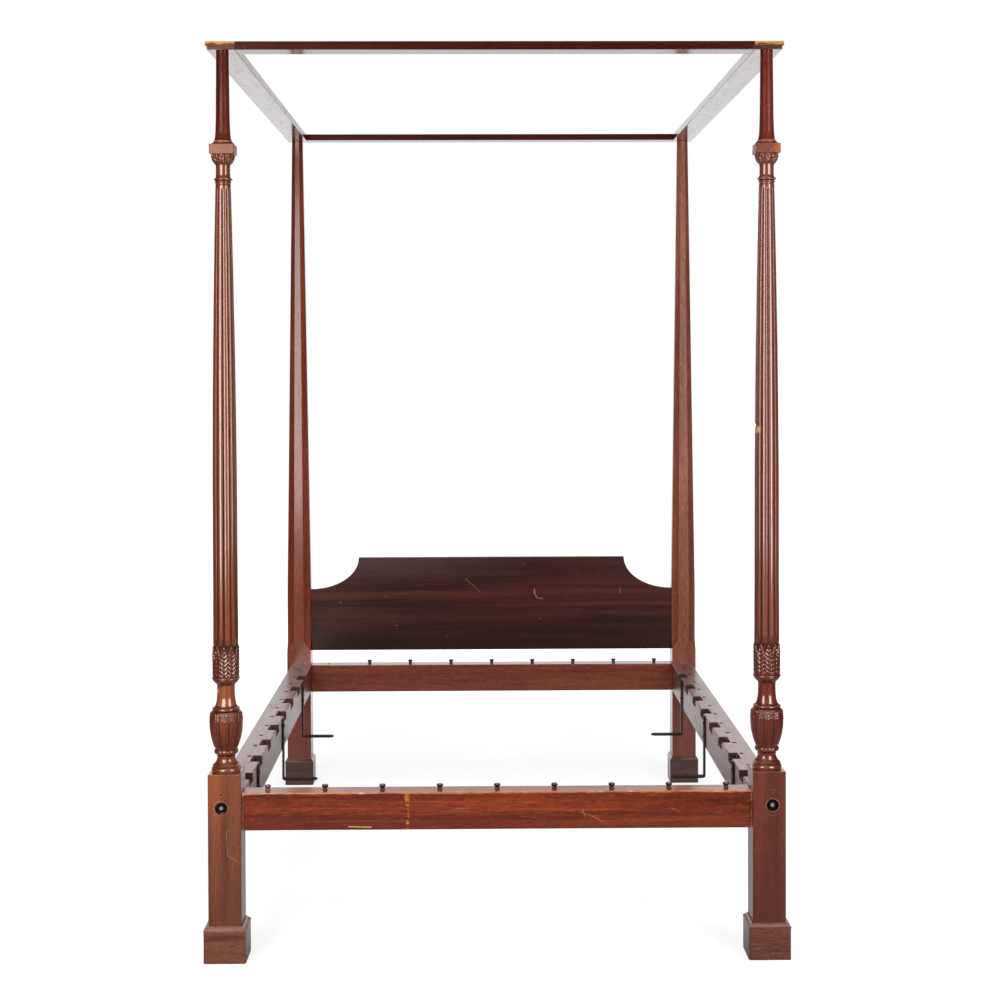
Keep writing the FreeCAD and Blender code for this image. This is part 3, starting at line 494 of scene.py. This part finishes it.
bolt_hole = (0.7485, 0.419)
bolt_hole_radius = 0.0165
screw_hole = (0.7485, 0.456)
screw_hole_radius = 0.0025
leg_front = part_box("foot_post_left")[0].y
carved_zone = (0.565, 0.86)
cup_zone = (0.772, 0.86)
neck_zone = (0.69, 0.75)
reed_foot = (0.86, 0.90)
leg_shoulder = (0.512, 0.520)
neck_spot = (-0.7645, 0.733)
reed_chip = (0.7075, 1.441)
leg_scratch = ((-0.7263, 0.3633), (-0.735, 0.3547), (-0.7303, 0.2904), (-0.6990, 0.2700))
carved_tones = {"left": (shade(88, 34, 19), shade(156, 78, 44)),
                "right": (shade(70, 23, 18), shade(136, 58, 42))}
leg_tones = {"left": shade(108, 76, 66), "right": shade(88, 60, 55)}
carved_finishes = {}
for side, (deep, bright) in carved_tones.items():
    wood = Wood("carved_mahogany_" + side, UPRIGHT, deep, bright)
    hollow = wood.node("ShaderNodeAttribute", {"attribute_name": "hollow"}, output="Fac")
    wood.lay(wood.band(wood.z, *carved_zone, soft=0.005) * 0.5, shade(110, 36, 32))
    wood.lay(wood.band(wood.z, *cup_zone, soft=0.004) * 0.4, shade(66, 24, 23))
    wood.lay((1 - wood.rise(wood.z, 0.15, 0.40)) * 0.4, shade(92, 50, 40))
    front_face = 1 - wood.rise(wood.y, leg_front + 0.002, leg_front + 0.005)
    rubbed = wood.noise((60.0,) * 3, roughness=0.65, shift=2.0)
    from_hole = wood.reach(abs(wood.x), wood.z, bolt_hole) - bolt_hole_radius
    from_screw = wood.reach(abs(wood.x), wood.z, screw_hole) - screw_hole_radius
    on_block = wood.band(wood.z, block_low * MILLIMETRE, block_high * MILLIMETRE, soft=0.0006)
    plain = 1 - wood.rise(wood.z, *leg_shoulder)
    wood.lay(plain * 0.35, leg_tones[side])
    if side == "left":
        sunny = wood.rise(wood.z, 0.28, 0.50) * (1 - wood.rise(wood.x, -0.765, -0.715))
        wood.lay(sunny * front_face * 0.55, shade(168, 92, 48))
        # A lighter orange band on the neck: partly the wood's colour, partly painted sheen.
        wood.lay(wood.band(wood.z, *neck_zone, soft=0.006) * 0.5, shade(186, 104, 64))
        wood.lay(wood.rise(wood.z, *reed_foot) * 0.5, shade(134, 58, 31))
        rim = wood.band(from_hole, 0.0010, 0.0040, soft=0.0010) * wood.rise(rubbed, 0.42, 0.58)
        wood.lay(rim * front_face * 0.4, shade(196, 138, 116), rough=0.5)
        for start, end in zip(leg_scratch, leg_scratch[1:]):
            mark = wood.scratch(wood.x, wood.z, start, end, width=0.0010) * wood.rise(rubbed, 0.30, 0.55)
            wood.lay(mark * front_face * 0.7, shade(196, 142, 112), rough=0.5)
        # A bright orange spot on the left edge of the neck.
        orange_spot = 1 - wood.rise(wood.reach(wood.x, wood.z, neck_spot), 0.005, 0.010)
        wood.lay(orange_spot, shade(246, 176, 86), rough=0.5)
        # The left post's square block is painted a muted pinkish brown, with its varnish left off.
        wood.lay(on_block * 0.85, shade(126, 66, 49), rough=0.5)
    else:
        # Paler, pinker reeds: partly the wood's colour, partly painted sheen.
        wood.lay(wood.rise(wood.z, *reed_foot) * 0.6, shade(146, 74, 64))
        below = 1 - wood.rise(wood.z, bolt_hole[1] - 0.012, bolt_hole[1] - 0.004)
        arc = wood.band(from_hole, 0.0105, 0.0120, soft=0.0008) * below
        rim = wood.band(from_hole, 0.0005, 0.0030, soft=0.0008) * wood.rise(rubbed, 0.40, 0.55)
        wood.lay(arc * front_face * 0.35, shade(168, 118, 108), rough=0.5)
        wood.lay(rim * front_face * 0.4, shade(186, 140, 128), rough=0.5)
        wood.lay(on_block * wood.rise(rubbed, 0.40, 0.62) * 0.8, shade(88, 46, 50), rough=0.7)
        wood.lay(on_block * wood.rise(wood.x, 0.755, 0.760) * 0.8, shade(180, 90, 54), rough=0.5)
        chip = 1 - wood.rise(wood.reach(wood.x, wood.z, reed_chip), 0.008, 0.014)
        wood.lay(chip * 0.9, shade(244, 184, 120), rough=0.6)
    # Painted shade: the hollows of the carving and the crevices under its mouldings are painted dark brown.
    wood.lay(hollow * 0.9, shade(30, 9, 7), rough=0.7)
    screw_rim = wood.band(from_screw, 0.0009, 0.0021, soft=0.0006)
    wood.lay(screw_rim * front_face * 0.35, shade(196, 140, 122), rough=0.5)
    # Painted shade: the insides of the bolt and screw holes are painted nearly black.
    hole_shade = 1 - wood.rise(from_hole, 0.0001, 0.0007) * wood.rise(from_screw, 0.0001, 0.0007)
    hole_shade = hole_shade * wood.rise(wood.y, leg_front + 0.0006, leg_front + 0.002)
    wood.lay(hole_shade, shade(10, 5, 4), rough=0.9)
    worn_off = wood.node("ShaderNodeMath", {"operation": "MAXIMUM"},
                         {0: hollow, 1: on_block * 0.85 + plain * front_face * 0.7})
    wood.varnish_tint = shade(255, 194, 152)
    carved_finishes[side] = wood.polish(coat=0.75, coat_rough=0.12, dull=worn_off,
                                        coat_index=2.0, index=1.75)

leg_half = 0.045
leg_arrises = ((1, 1, 0), (1, -1, 0), (-1, 1, 0), (-1, -1, 0), (1, 0, 1), (-1, 0, 1), (0, 1, 1), (0, -1, 1))
arris_depth = 0.0009
shoulder = (leg_top - 0.4) * MILLIMETRE
for side, turn in carving_turns.items():
    node = "foot_post_" + side
    post_axis = axis_of(node)
    shape = merged_copy(node)
    plane_off(shape, (0, 0, shoulder), (0, 0, 1))
    for direction in leg_arrises:
        outward = Vector(direction)
        arris = post_axis + outward * leg_half
        if outward.z:
            arris.z = shoulder
        plane_off(shape, arris - outward.normalized() * arris_depth, outward)
    for face in shape.faces:
        face.smooth = curved(face)
    shape.verts.layers.float.new("hollow")
    turned = spun(post_outline, turning_steps)
    turned.verts.layers.float.new("hollow")
    carve(turned, post_outline, turn, chipped=side == "right")
    block = bmesh.ops.create_cube(turned, size=1)["verts"]
    bmesh.ops.scale(turned, verts=block, vec=(block_width, block_width, block_high - block_low))
    bmesh.ops.translate(turned, verts=block, vec=(0, 0, (block_high + block_low) / 2))
    block_edges = list({edge for vert in block for edge in vert.link_edges})
    bmesh.ops.bevel(turned, geom=block_edges, offset=1.4, segments=3, profile=0.5, affect="EDGES",
                    material=-1)
    set_up(turned, post_axis)
    join(shape, turned)
    post = piece_from(shape, "carved_foot_post_" + side)
    carved_finishes[side].dress(post)
    stand_for(node, post)


# Upper columns: short plain columns with a moulded foot, turned from darker mahogany and dowelled into
# the square blocks of the foot posts, to carry the tester.
sides = ("left", "right")
column_outline = (
    [(0, block_high - 4), (29, block_high - 4), (30.4, block_high)]
    + bead(28.8, block_high + 0.2, 2222.6, 1.9)
    + [(25.4, 2223)]
    + bead(24.6, 2223.2, 2228, 1.6)
    + [(23.0, 2228.4)]
    + swell((23.4, 2229), (20.2, 2254), -0.7, 12)
    + swell((20.2, 2254), (18.6, 2315), -0.3, 8)
    + swell((18.6, 2315), (17, 2469), 0, 6)
    + [(17, 2469), (0, 2469)])
column_ring = (2.2232, 2.2282)
column_mahogany = Wood("column_mahogany", UPRIGHT, shade(66, 19, 13), shade(116, 42, 27), shift=2.0)
# Painted highlight: a pale band on the bead at the column's foot.
ring_highlight = column_mahogany.band(column_mahogany.z, *column_ring, soft=0.0005)
column_mahogany.lay(ring_highlight * 0.7, shade(188, 128, 104))
column_mahogany.polish(coat=0.35, gloss=0.25)
for side in sides:
    node = "foot_column_" + side
    shape = spun(column_outline, steps=96)
    set_up(shape, axis_of(node))
    column = piece_from(shape, "turned_column_" + side)
    column_mahogany.dress(column)
    stand_for(node, column)


# Head posts: plain mahogany posts, square below and planed to eight sides above the chamfer stops,
# tapering to the tester.
flat_limit = math.radians(0.5)


def softened_piece(node, name, width, body="bedstead"):
    """A CAD node with its sharp edges rounded a little, as by years of handling. It stands for the node."""
    shape = merged_copy(node)
    bmesh.ops.dissolve_limit(shape, angle_limit=flat_limit, verts=shape.verts, edges=shape.edges)
    for face in shape.faces:
        face.smooth = curved(face)
    sharp = [edge for edge in shape.edges if edge.calc_face_angle(0.0) > sharp_bend]
    rounded = bmesh.ops.bevel(shape, geom=sharp, offset=width, segments=3, profile=0.5, affect="EDGES",
                              material=-1)
    for face in rounded["faces"]:
        face.smooth = True
    piece = piece_from(shape, name)
    stand_for(node, piece, body)
    return piece


head_tones = {"left": (shade(108, 42, 28), shade(160, 76, 52)),
              "right": (shade(122, 58, 44), shade(182, 108, 84))}
for side, (deep, bright) in head_tones.items():
    wood = Wood("head_post_mahogany_" + side, UPRIGHT, deep, bright, shift=4.0)
    wood.lay((1 - wood.rise(wood.z, 0.30, 0.60)) * 0.6, shade(106, 42, 35))
    post = softened_piece("head_post_" + side, "planed_head_post_" + side, width=0.0012)
    wood.polish().dress(post)


# Block feet and their mouldings: four mitred mahogany boards glued round the foot of each leg, with a
# hollow strip on top of each board. The pair at the head is darker.
for end, deep, bright in (("foot", shade(86, 46, 36), shade(138, 82, 64)),
                          ("head", shade(60, 34, 30), shade(96, 58, 51))):
    block_mahogany = Wood(end + "_block_mahogany", ACROSS_BED, deep, bright, shift=6.0)
    block_mahogany.polish()
    for side in sides:
        boards = softened_piece("%s_plinth_%s" % (end, side), "%s_block_boards_%s" % (end, side),
                                width=0.0006)
        strips = softened_piece("%s_moulding_%s" % (end, side), "%s_block_strips_%s" % (end, side),
                                width=0.0006)
        block_mahogany.dress(boards, strips)


# Headboard: one wide mahogany plank, flat on top with hollow shoulders, tongued into slots in the head
# posts. Its finish has gone dark and carries old scratches.
wood = Wood("headboard_mahogany", ACROSS_BED, shade(36, 15, 15), shade(74, 35, 33), shift=8.0)
streaks = wood.rise(wood.noise((0.9, 8.0, 38.0), detail=5.0, shift=9.0), 0.42, 0.66)
wood.lay(streaks * wood.band(wood.z, 0.64, 0.78, soft=0.06) * 0.6, shade(112, 50, 44))
wood.lay((1 - wood.rise(wood.z, 0.53, 0.64)) * 0.55, shade(34, 18, 18))
haze = wood.rise(wood.z, 0.76, 0.86) * (1 - wood.rise(wood.x, -0.35, 0.25))
wood.lay(haze * 0.3, shade(112, 92, 96), rough=0.45)
scuffed = wood.noise((70.0,) * 3, roughness=0.65, shift=3.0)
board_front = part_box("headboard")[0].y
front_side = 1 - wood.rise(wood.y, board_front + 0.002, board_front + 0.006)
board_scratches = (
    ((-0.0999, 0.7857), (-0.0423, 0.7314), 0.0016, 0.30),
    ((0.4963, 0.7480), (0.4963, 0.7260), 0.0014, 0.35),
    ((0.1661, 0.7447), (0.1668, 0.7246), 0.0032, 0.85),
    ((0.1668, 0.7246), (0.1784, 0.7079), 0.0026, 0.65),
    ((0.1784, 0.7079), (0.1984, 0.7078), 0.0024, 0.60))
for start, end, width, strength in board_scratches:
    mark = wood.scratch(wood.x, wood.z, start, end, width)
    wood.lay(mark * wood.rise(scuffed, 0.30, 0.55) * front_side * strength, shade(216, 190, 150), rough=0.5)
board_specks = ((-0.5818, 0.6953), (-0.4084, 0.7176), (0.1239, 0.8403), (0.1890, 0.6297), (-0.3665, 0.6053),
                (-0.1739, 0.5619))
for speck in board_specks:
    spot = 1 - wood.rise(wood.reach(wood.x, wood.z, speck), 0.001, 0.003)
    wood.lay(spot * front_side * 0.45, shade(200, 180, 170), rough=0.5)
wood.polish(coat=0.4, coat_rough=0.25, bump=0.15, gloss=0.25)
headboard = softened_piece("headboard", "headboard_plank", width=0.002)
wood.dress(headboard)


# Foot rail and head rail: stout mahogany rails tenoned and bolted between the posts. The foot rail's
# upper edge is worn through to bare orange wood.
rail_low_corner, rail_high_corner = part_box("foot_rail")
rail_top = rail_high_corner.z
rail_low = rail_low_corner.z
rail_front = rail_low_corner.y
rail_end = 0.6945
wood = Wood("foot_rail_mahogany", ACROSS_BED, shade(86, 30, 18), shade(152, 61, 34), shift=10.0)
lines = wood.noise((1.6, 60.0, 150.0), shift=6.0)
wood.lay(wood.rise(lines, 0.56, 0.70) * 0.45, shade(190, 92, 50))
dashes = wood.noise((16.0, 60.0, 240.0), detail=5.0, roughness=0.7, shift=2.0)
wood.lay(wood.rise(dashes, 0.56, 0.66) * 0.6, shade(62, 24, 17))
wood.lay((1 - wood.rise(dashes, 0.32, 0.40)) * 0.6, shade(206, 112, 66))
wood.lay((1 - wood.rise(wood.z, 0.376, 0.412)) * 0.4, shade(90, 43, 36))
edge_noise = wood.noise((34.0, 90.0, 190.0), detail=6.0, roughness=0.75, shift=1.0)
near_top = wood.rise(wood.z, rail_top - 0.009, rail_top - 0.001)
near_low = 1 - wood.rise(wood.z, rail_low + 0.001, rail_low + 0.008)
near_front = 1 - wood.rise(wood.y, rail_front + 0.004, rail_front + 0.012)
near_end = wood.rise(abs(wood.x), rail_end - 0.010, rail_end - 0.003)
front = 1 - wood.rise(wood.y, rail_front + 0.002, rail_front + 0.004)
wear = (near_top * 0.34 + near_low * 0.12 + near_end * 0.22) * near_front
wood.lay(wood.rise(edge_noise + wear, 0.68, 0.80) * 0.9, shade(206, 112, 56), rough=0.5)
patch_shape = wood.noise((40.0, 40.0, 90.0), shift=4.0)
patch_place = -0.2443
patch_middle = wood.x - patch_place + (patch_shape - 0.5) * 0.016
patch_width = 0.0035 + wood.rise(wood.z, 0.41, rail_top) * 0.005
patch = 1 - wood.rise(abs(patch_middle), patch_width * 0.5, patch_width * 1.3)
wood.lay(patch * wood.rise(edge_noise, 0.44, 0.56) * front * 0.85, shade(222, 128, 66), rough=0.5)
glint = wood.rise(edge_noise + near_top * near_front * 0.26 + near_end * near_front * 0.2, 0.84, 0.90)
wood.lay(glint, shade(240, 204, 172), rough=0.5)
flecks = wood.noise((220.0, 90.0, 420.0), detail=2.0, roughness=0.5, shift=5.0)
wood.lay(wood.rise(flecks, 0.74, 0.78) * front * 0.6, shade(226, 168, 128), rough=0.5)
long_chip = wood.scratch(wood.x, wood.z, (-0.4049, 0.3645), (-0.3424, 0.3625), width=0.0020)
wood.lay(long_chip * wood.rise(edge_noise, 0.36, 0.48) * front * 0.9, shade(248, 190, 136), rough=0.5)
rail_scratches = (
    ((0.2209, 0.4030), (0.2600, 0.3880), 0.0011),
    ((0.2310, 0.4110), (0.2390, 0.3880), 0.0011),
    ((0.2480, 0.3950), (0.2916, 0.3714), 0.0011),
    ((0.0600, 0.3900), (0.1100, 0.3860), 0.0009),
    ((0.4700, 0.4120), (0.5000, 0.3980), 0.0009))
for start, end, width in rail_scratches:
    mark = wood.scratch(wood.x, wood.z, start, end, width)
    wood.lay(mark * wood.rise(patch_shape, 0.35, 0.55) * front * 0.55, shade(222, 150, 108), rough=0.5)
left_edge = wood.band(wood.x, -rail_end, -rail_end + 0.0022, soft=0.0006) * front
wood.lay(left_edge * wood.rise(edge_noise, 0.36, 0.48) * 0.8, shade(226, 176, 158), rough=0.5)
right_edge = wood.band(wood.x, rail_end - 0.0028, rail_end, soft=0.0006) * front
wood.lay(right_edge * wood.rise(edge_noise, 0.40, 0.52) * 0.85, shade(240, 184, 124), rough=0.5)
wood.polish(coat=0.75, bump=0.2)
foot_rail = softened_piece("foot_rail", "foot_rail_beam", width=0.0022)
wood.dress(foot_rail)
head_rail_mahogany = Wood("head_rail_mahogany", ACROSS_BED, shade(98, 38, 27), shade(150, 70, 48),
                          shift=12.0)
head_rail_mahogany.polish()
head_rail = softened_piece("head_rail", "head_rail_beam", width=0.0022)
head_rail_mahogany.dress(head_rail)


# Rope pegs: small turned mahogany spools, driven into holes along both end rails to lace the old rope
# bottom. Nearly black with age, apart from the first one on the foot rail.
peg_rise = 16
peg_radius = 0.009
peg_outline = (
    [(0, -8), (6, -8), (6, -0.2), (7.8, 0)]
    + swell((7.8, 0.2), (5.4, 4.4), -0.6, 5)
    + swell((5.4, 4.4), (7.0, 8), -0.5, 4)
    + bead(6.9, 7.6, 15.2, 2.0, 10)
    + swell((6.6, 15.3), (0, peg_rise), 0.25, 5)
    + [(0, peg_rise)])
peg_mahogany = Wood("peg_mahogany", UPRIGHT, shade(30, 12, 10), shade(58, 26, 20), shift=14.0)
pale_peg = 1 - peg_mahogany.rise(peg_mahogany.x, -0.58, -0.56)
peg_mahogany.lay(pale_peg * 0.7, shade(128, 84, 70))
peg_mahogany.polish()
for end, count in (("foot", 9), ("head", 8)):
    node = end + "_rail_pegs"
    low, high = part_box(node)
    run = high.x - low.x - 2 * peg_radius
    shape = bmesh.new()
    for number in range(count):
        x = low.x + peg_radius + run * number / (count - 1)
        peg = spun(peg_outline, steps=32)
        set_up(peg, (x, (low.y + high.y) / 2, high.z - peg_rise * MILLIMETRE))
        join(shape, peg)
    pegs = piece_from(shape, end + "_rail_spools")
    peg_mahogany.dress(pegs)
    stand_for(node, pegs)


# Side rails: long mahogany rails with eight slat notches sawn and chopped into the inner top edge, and
# the old rope pegs cut off flush along the middle of the top.
wood = Wood("side_rail_mahogany", ALONG_BED, shade(84, 44, 38), shade(136, 82, 68), shift=16.0)
inner_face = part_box("side_rail_right")[0].x
notch_width = 0.027
notch_depth = 0.024
from_inside = abs(wood.x) - inner_face
# Painted shade: the insides of the slat notches are painted dark, and left rough.
notch_shade = wood.band(from_inside, 0.0006, notch_width + 0.002, soft=0.0005)
notch_shade = notch_shade * wood.band(wood.z, rail_top - notch_depth - 0.002, rail_top - 0.0008, soft=0.0004)
wood.lay(notch_shade * 0.9, shade(40, 20, 18), rough=0.8)
on_inside = 1 - wood.rise(from_inside, 0.002, 0.006)
top_edge = wood.rise(wood.z, rail_top - 0.006, rail_top - 0.001) * on_inside
# Pale along the inner top edge: partly bare wood, partly painted highlight.
edge_wear_and_glint = wood.rise(wood.noise((40.0,) * 3, shift=2.0), 0.45, 0.6)
wood.lay(top_edge * edge_wear_and_glint * 0.6, shade(206, 150, 128), rough=0.5)
rubbed_place = (0.508, 0.392)
rubbed_patch = 1 - wood.rise(wood.reach(wood.y, wood.z, rubbed_place), 0.014, 0.034)
on_left_rail = 1 - wood.rise(wood.x, 0, 0.1)
wood.lay(rubbed_patch * on_inside * on_left_rail * 0.8, shade(222, 140, 100), rough=0.6)
mottled = wood.rise(wood.noise((46.0, 9.0, 46.0), detail=6.0, roughness=0.7, shift=8.0), 0.50, 0.68)
wood.polish(coat=1.0, coat_rough=0.32, bump=0.2, dull=mottled * 0.4 + on_inside * 0.5, coat_index=1.8)
stub_wood = Wood("stub_mahogany", UPRIGHT, shade(18, 9, 8), shade(36, 20, 17), shift=18.0)
stub_wood.lay(1.0, shade(26, 14, 12), rough=0.9)
stub_wood.polish(coat=0.0, bump=0.1, gloss=0.1)
for side in sides:
    beam = softened_piece("side_rail_" + side, "side_rail_beam_" + side, width=0.0015)
    wood.dress(beam)
    stub_wood.dress(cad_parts["side_rail_stubs_" + side])


# Bed irons: hand-forged black iron straps, screwed to the inner faces of the side rails and turned in
# at the foot to carry a lower mattress.
black_iron = Finish("black_iron")
scale_marks = black_iron.noise((90.0,) * 3, detail=5.0, roughness=0.65)
rust = black_iron.rise(scale_marks, 0.4, 0.65)
black_iron.feed(black_iron.shader.inputs["Base Color"],
                black_iron.blend(rust, shade(30, 22, 20), shade(66, 48, 42)))
black_iron.feed(black_iron.shader.inputs["Roughness"], 0.42 + scale_marks * 0.25)
black_iron.shader.inputs["Metallic"].default_value = 0.6
iron_bump = black_iron.node("ShaderNodeBump", {},
                            {"Strength": 0.3, "Distance": 0.0005, "Height": scale_marks})
black_iron.feed(black_iron.shader.inputs["Normal"], iron_bump)
foot_zone = 0.04
front_foot_rise = 0.012
for side in sides:
    for number in (1, 2, 3):
        node = "%s_iron_%d" % (side, number)
        strap = softened_piece(node, "forged_" + node, width=0.0012)
        black_iron.dress(strap)
        if number == 1:
            foot_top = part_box(node)[0].z + foot_zone
            for point in strap.data.vertices:
                if point.co.z < foot_top:
                    point.co.z += front_foot_rise


# Bed bolts, their nuts and the strap screws: blacked iron fasteners. Only the bolt heads show, deep in
# the counterbores of the posts.
for node in ("iron_screws", "side_rail_nuts", "end_rail_nuts"):
    black_iron.dress(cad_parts[node])
bolt_iron = Finish("bolt_iron")
# Painted highlight: a pale spot in the middle of each bolt end. Round it the blacked iron is painted darker
# still, as painted shade deep in the counterbores.
bolt_glint_radius = 0.0040
bolt_marks = bolt_iron.noise((160.0,) * 3)
from_axis = bolt_iron.reach(abs(bolt_iron.x), bolt_iron.z, bolt_hole)
bolt_glint = 1 - bolt_iron.rise(from_axis, bolt_glint_radius, bolt_glint_radius + 0.0018)
bolt_glint = bolt_glint * (0.6 + bolt_iron.rise(bolt_marks, 0.4, 0.6) * 0.4)
bolt_iron.feed(bolt_iron.shader.inputs["Base Color"],
               bolt_iron.blend(bolt_glint, shade(14, 11, 10), shade(176, 170, 164)))
bolt_iron.feed(bolt_iron.shader.inputs["Roughness"], 0.5 + bolt_marks * 0.2)
bolt_iron.shader.inputs["Metallic"].default_value = 0.3
bolt_iron.dress(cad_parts["side_rail_bolts"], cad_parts["end_rail_bolts"])


# Tester: four flat mahogany boards half-lapped at the corners, which lie on the posts and are held by
# iron pins. The laps show raw yellow wood.
wood = Wood("tester_mahogany", ACROSS_BED, shade(44, 9, 7), shade(80, 21, 14), shift=20.0)
lap_start = 0.7025
lap_height = 2.4805
tester_low, tester_top = (corner.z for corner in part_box("tester_foot_rail"))
raw_noise = wood.noise((50.0, 50.0, 120.0), shift=3.0)
raw = wood.rise(abs(wood.x), lap_start - 0.003, lap_start + 0.003)
upper = wood.rise(wood.z, lap_height, lap_height + 0.001)
high_edge = wood.rise(wood.z + (raw_noise - 0.5) * 0.020, tester_top - 0.008, tester_top - 0.004)
top_face = wood.rise(wood.z, tester_top - 0.0010, tester_top - 0.0003)
wood.lay(raw * upper * (0.15 + high_edge * 0.85) * (1 - top_face * 0.9), shade(216, 150, 74), rough=0.6)
underside = 1 - wood.rise(wood.z, tester_low + 0.0004, tester_low + 0.0016)
wood.polish(coat=1.0, coat_rough=0.12, gloss=0.25, dull=0.6 - underside * 0.6)
tester_long = Wood("tester_side_mahogany", ALONG_BED, shade(60, 24, 20), shade(98, 46, 37), shift=22.0)
tester_long.rough = tester_long.rough - 0.1
inner_strip = 1 - tester_long.rise(abs(tester_long.x), lap_start + 0.0003, lap_start + 0.0013)
streaks = tester_long.noise((60.0, 14.0, 60.0), detail=6.0, roughness=0.7, shift=5.0)
streaked = tester_long.rise(streaks, 0.48, 0.66)
on_left = 1 - tester_long.rise(tester_long.x, -0.1, 0.1)
tester_long.polish(coat=1.0, coat_rough=0.12, gloss=0.7,
                   dull=streaked * 0.30 + inner_strip * (0.15 + on_left * 0.45))
for end in ("foot", "head"):
    board = softened_piece("tester_%s_rail" % end, "tester_%s_board" % end,
                           width=0.0014, body="tester")
    wood.dress(board)
for side in sides:
    board = softened_piece("tester_%s_rail" % side, "tester_%s_board" % side,
                           width=0.0014, body="tester")
    tester_long.dress(board)
black_iron.dress(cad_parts["tester_pins"])


# Studio: a white floor and surround, a white backdrop behind the bed that shows in the polish, two soft
# boxes in front of the foot posts, a large soft light overhead, a weak one behind the head end, and the
# camera at the foot of the bed.
room = bpy.data.worlds.new("white_studio")
bpy.context.scene.world = room
room.use_nodes = True
sky = room.node_tree
sky_light = sky.nodes["Background"]
rays = sky.nodes.new("ShaderNodeLightPath")


def sky_mix(share, first, second):
    """One number of the sky or another, by the kind of ray."""
    node = sky.nodes.new("ShaderNodeMix")
    for socket, value in zip((node.inputs[0], node.inputs[2], node.inputs[3]), (share, first, second)):
        if isinstance(value, bpy.types.NodeSocket):
            sky.links.new(value, socket)
        else:
            socket.default_value = value
    return node.outputs[0]


ambient = 0.17
dark_studio = 0.04
level = sky_mix(rays.outputs["Is Glossy Ray"], ambient, dark_studio)
level = sky_mix(rays.outputs["Is Transmission Ray"], level, 1.0)
level = sky_mix(rays.outputs["Is Camera Ray"], level, 1.0)
sky_light.inputs["Color"].default_value = (1, 1, 1, 1)
sky.links.new(level, sky_light.inputs["Strength"])

backdrop_place = 3.4
backdrop_half_width = 2.3
backdrop_height = 3.6
backdrop_shape = bmesh.new()
bmesh.ops.create_grid(backdrop_shape, x_segments=1, y_segments=1, size=1)
for point in backdrop_shape.verts:
    point.co = (point.co.x * backdrop_half_width, backdrop_place, (point.co.y + 1) / 2 * backdrop_height)
backdrop = piece_from(backdrop_shape, "studio_backdrop")
backdrop.visible_camera = False
backdrop.visible_diffuse = False
backdrop.visible_shadow = False
backdrop_paint = Finish("backdrop_paint")
backdrop_paint.shader.inputs["Base Color"].default_value = (0, 0, 0, 1)
backdrop_paint.shader.inputs["Specular IOR Level"].default_value = 0.0
backdrop_paint.shader.inputs["Emission Color"].default_value = (1, 1, 1, 1)
backdrop_paint.shader.inputs["Emission Strength"].default_value = 1.0
backdrop_paint.dress(backdrop)

floor_half_width = 30
floor_drop = 0.0005
floor_grey = (0.5, 0.5, 0.5, 1)
floor_dark = (0.08, 0.08, 0.08, 1)
floor_near_bed = 0.72
floor_shape = bmesh.new()
bmesh.ops.create_grid(floor_shape, x_segments=1, y_segments=1, size=floor_half_width)
bmesh.ops.translate(floor_shape, verts=floor_shape.verts, vec=(0, 0, -floor_drop))
floor = piece_from(floor_shape, "studio_floor")
floor_paint = Finish("floor_paint")
floor_seen = floor_paint.node("ShaderNodeLightPath", output="Is Camera Ray")
floor_glossy = Field(floor_paint, floor_seen.socket.node.outputs["Is Glossy Ray"])
under_bed = floor_paint.rise(floor_paint.y, -1.3, -0.6)
behind_bed = floor_paint.rise(floor_paint.y, 0.5, 3.0)
far_aside = floor_paint.rise(abs(floor_paint.x), 2.0, 2.8)
mirrored = (under_bed * 0.35 + behind_bed * 0.65) * (1 - far_aside)
far_out = floor_paint.rise(floor_paint.node("ShaderNodeVectorMath", {"operation": "LENGTH"},
                                            {0: floor_paint.place}, output="Value"), 2.0, 4.5)
glow = floor_paint.node("ShaderNodeMath", {"operation": "MAXIMUM"},
                        {0: floor_seen * (floor_near_bed + far_out * (1 - floor_near_bed)),
                         1: floor_glossy * mirrored})
floor_paint.feed(floor_paint.shader.inputs["Emission Color"],
                 floor_paint.blend(glow, (0, 0, 0, 1), (1, 1, 1, 1)))
floor_paint.feed(floor_paint.shader.inputs["Base Color"],
                 floor_paint.blend(floor_glossy, floor_grey, floor_dark))
floor_paint.shader.inputs["Roughness"].default_value = 0.9
floor_paint.shader.inputs["Specular IOR Level"].default_value = 0.0
floor_paint.shader.inputs["Emission Strength"].default_value = 1.0
floor_paint.dress(floor)


def soft_light(name, place, target, width, height, power, in_polish=True):
    """A rectangular soft box that faces a target, and shows in the polish or not."""
    lamp = bpy.data.lights.new(name, "AREA")
    lamp.shape = "RECTANGLE"
    lamp.size = width
    lamp.size_y = height
    lamp.energy = power
    stand = bpy.data.objects.new(name, lamp)
    stand.location = place
    stand.rotation_euler = (Vector(target) - Vector(place)).to_track_quat("-Z", "Y").to_euler()
    stand.visible_camera = False
    stand.visible_glossy = in_polish
    bpy.context.collection.objects.link(stand)


soft_light("left_soft_box", place=(-1.6, -3.2, 1.75), target=(-0.4, 0, 1.75),
           width=1.4, height=2.0, power=58)
soft_light("right_soft_box", place=(2.05, -3.1, 1.75), target=(0.4, 0, 1.75),
           width=1.2, height=2.0, power=50)
soft_light("overhead_light", place=(0, -1.0, 6.0), target=(0, 0, 0),
           width=5.0, height=5.0, power=130)
soft_light("rear_soft_box", place=(0, 5.5, 2.2), target=(0, 0, 1.2),
           width=4.0, height=2.0, power=70, in_polish=False)

lens = bpy.data.cameras.new("photo_camera")
lens.lens = 63.32
lens.sensor_width = 36
lens.shift_y = -0.1127
lens.clip_end = 100
camera = bpy.data.objects.new("photo_camera", lens)
camera.location = (-0.0482, -5.7866, 1.6408)
camera.rotation_euler = (math.radians(89.0), math.radians(0.172), math.radians(-0.71))
bpy.context.collection.objects.link(camera)
bpy.context.scene.camera = camera
bpy.context.scene.view_settings.view_transform = "Standard"
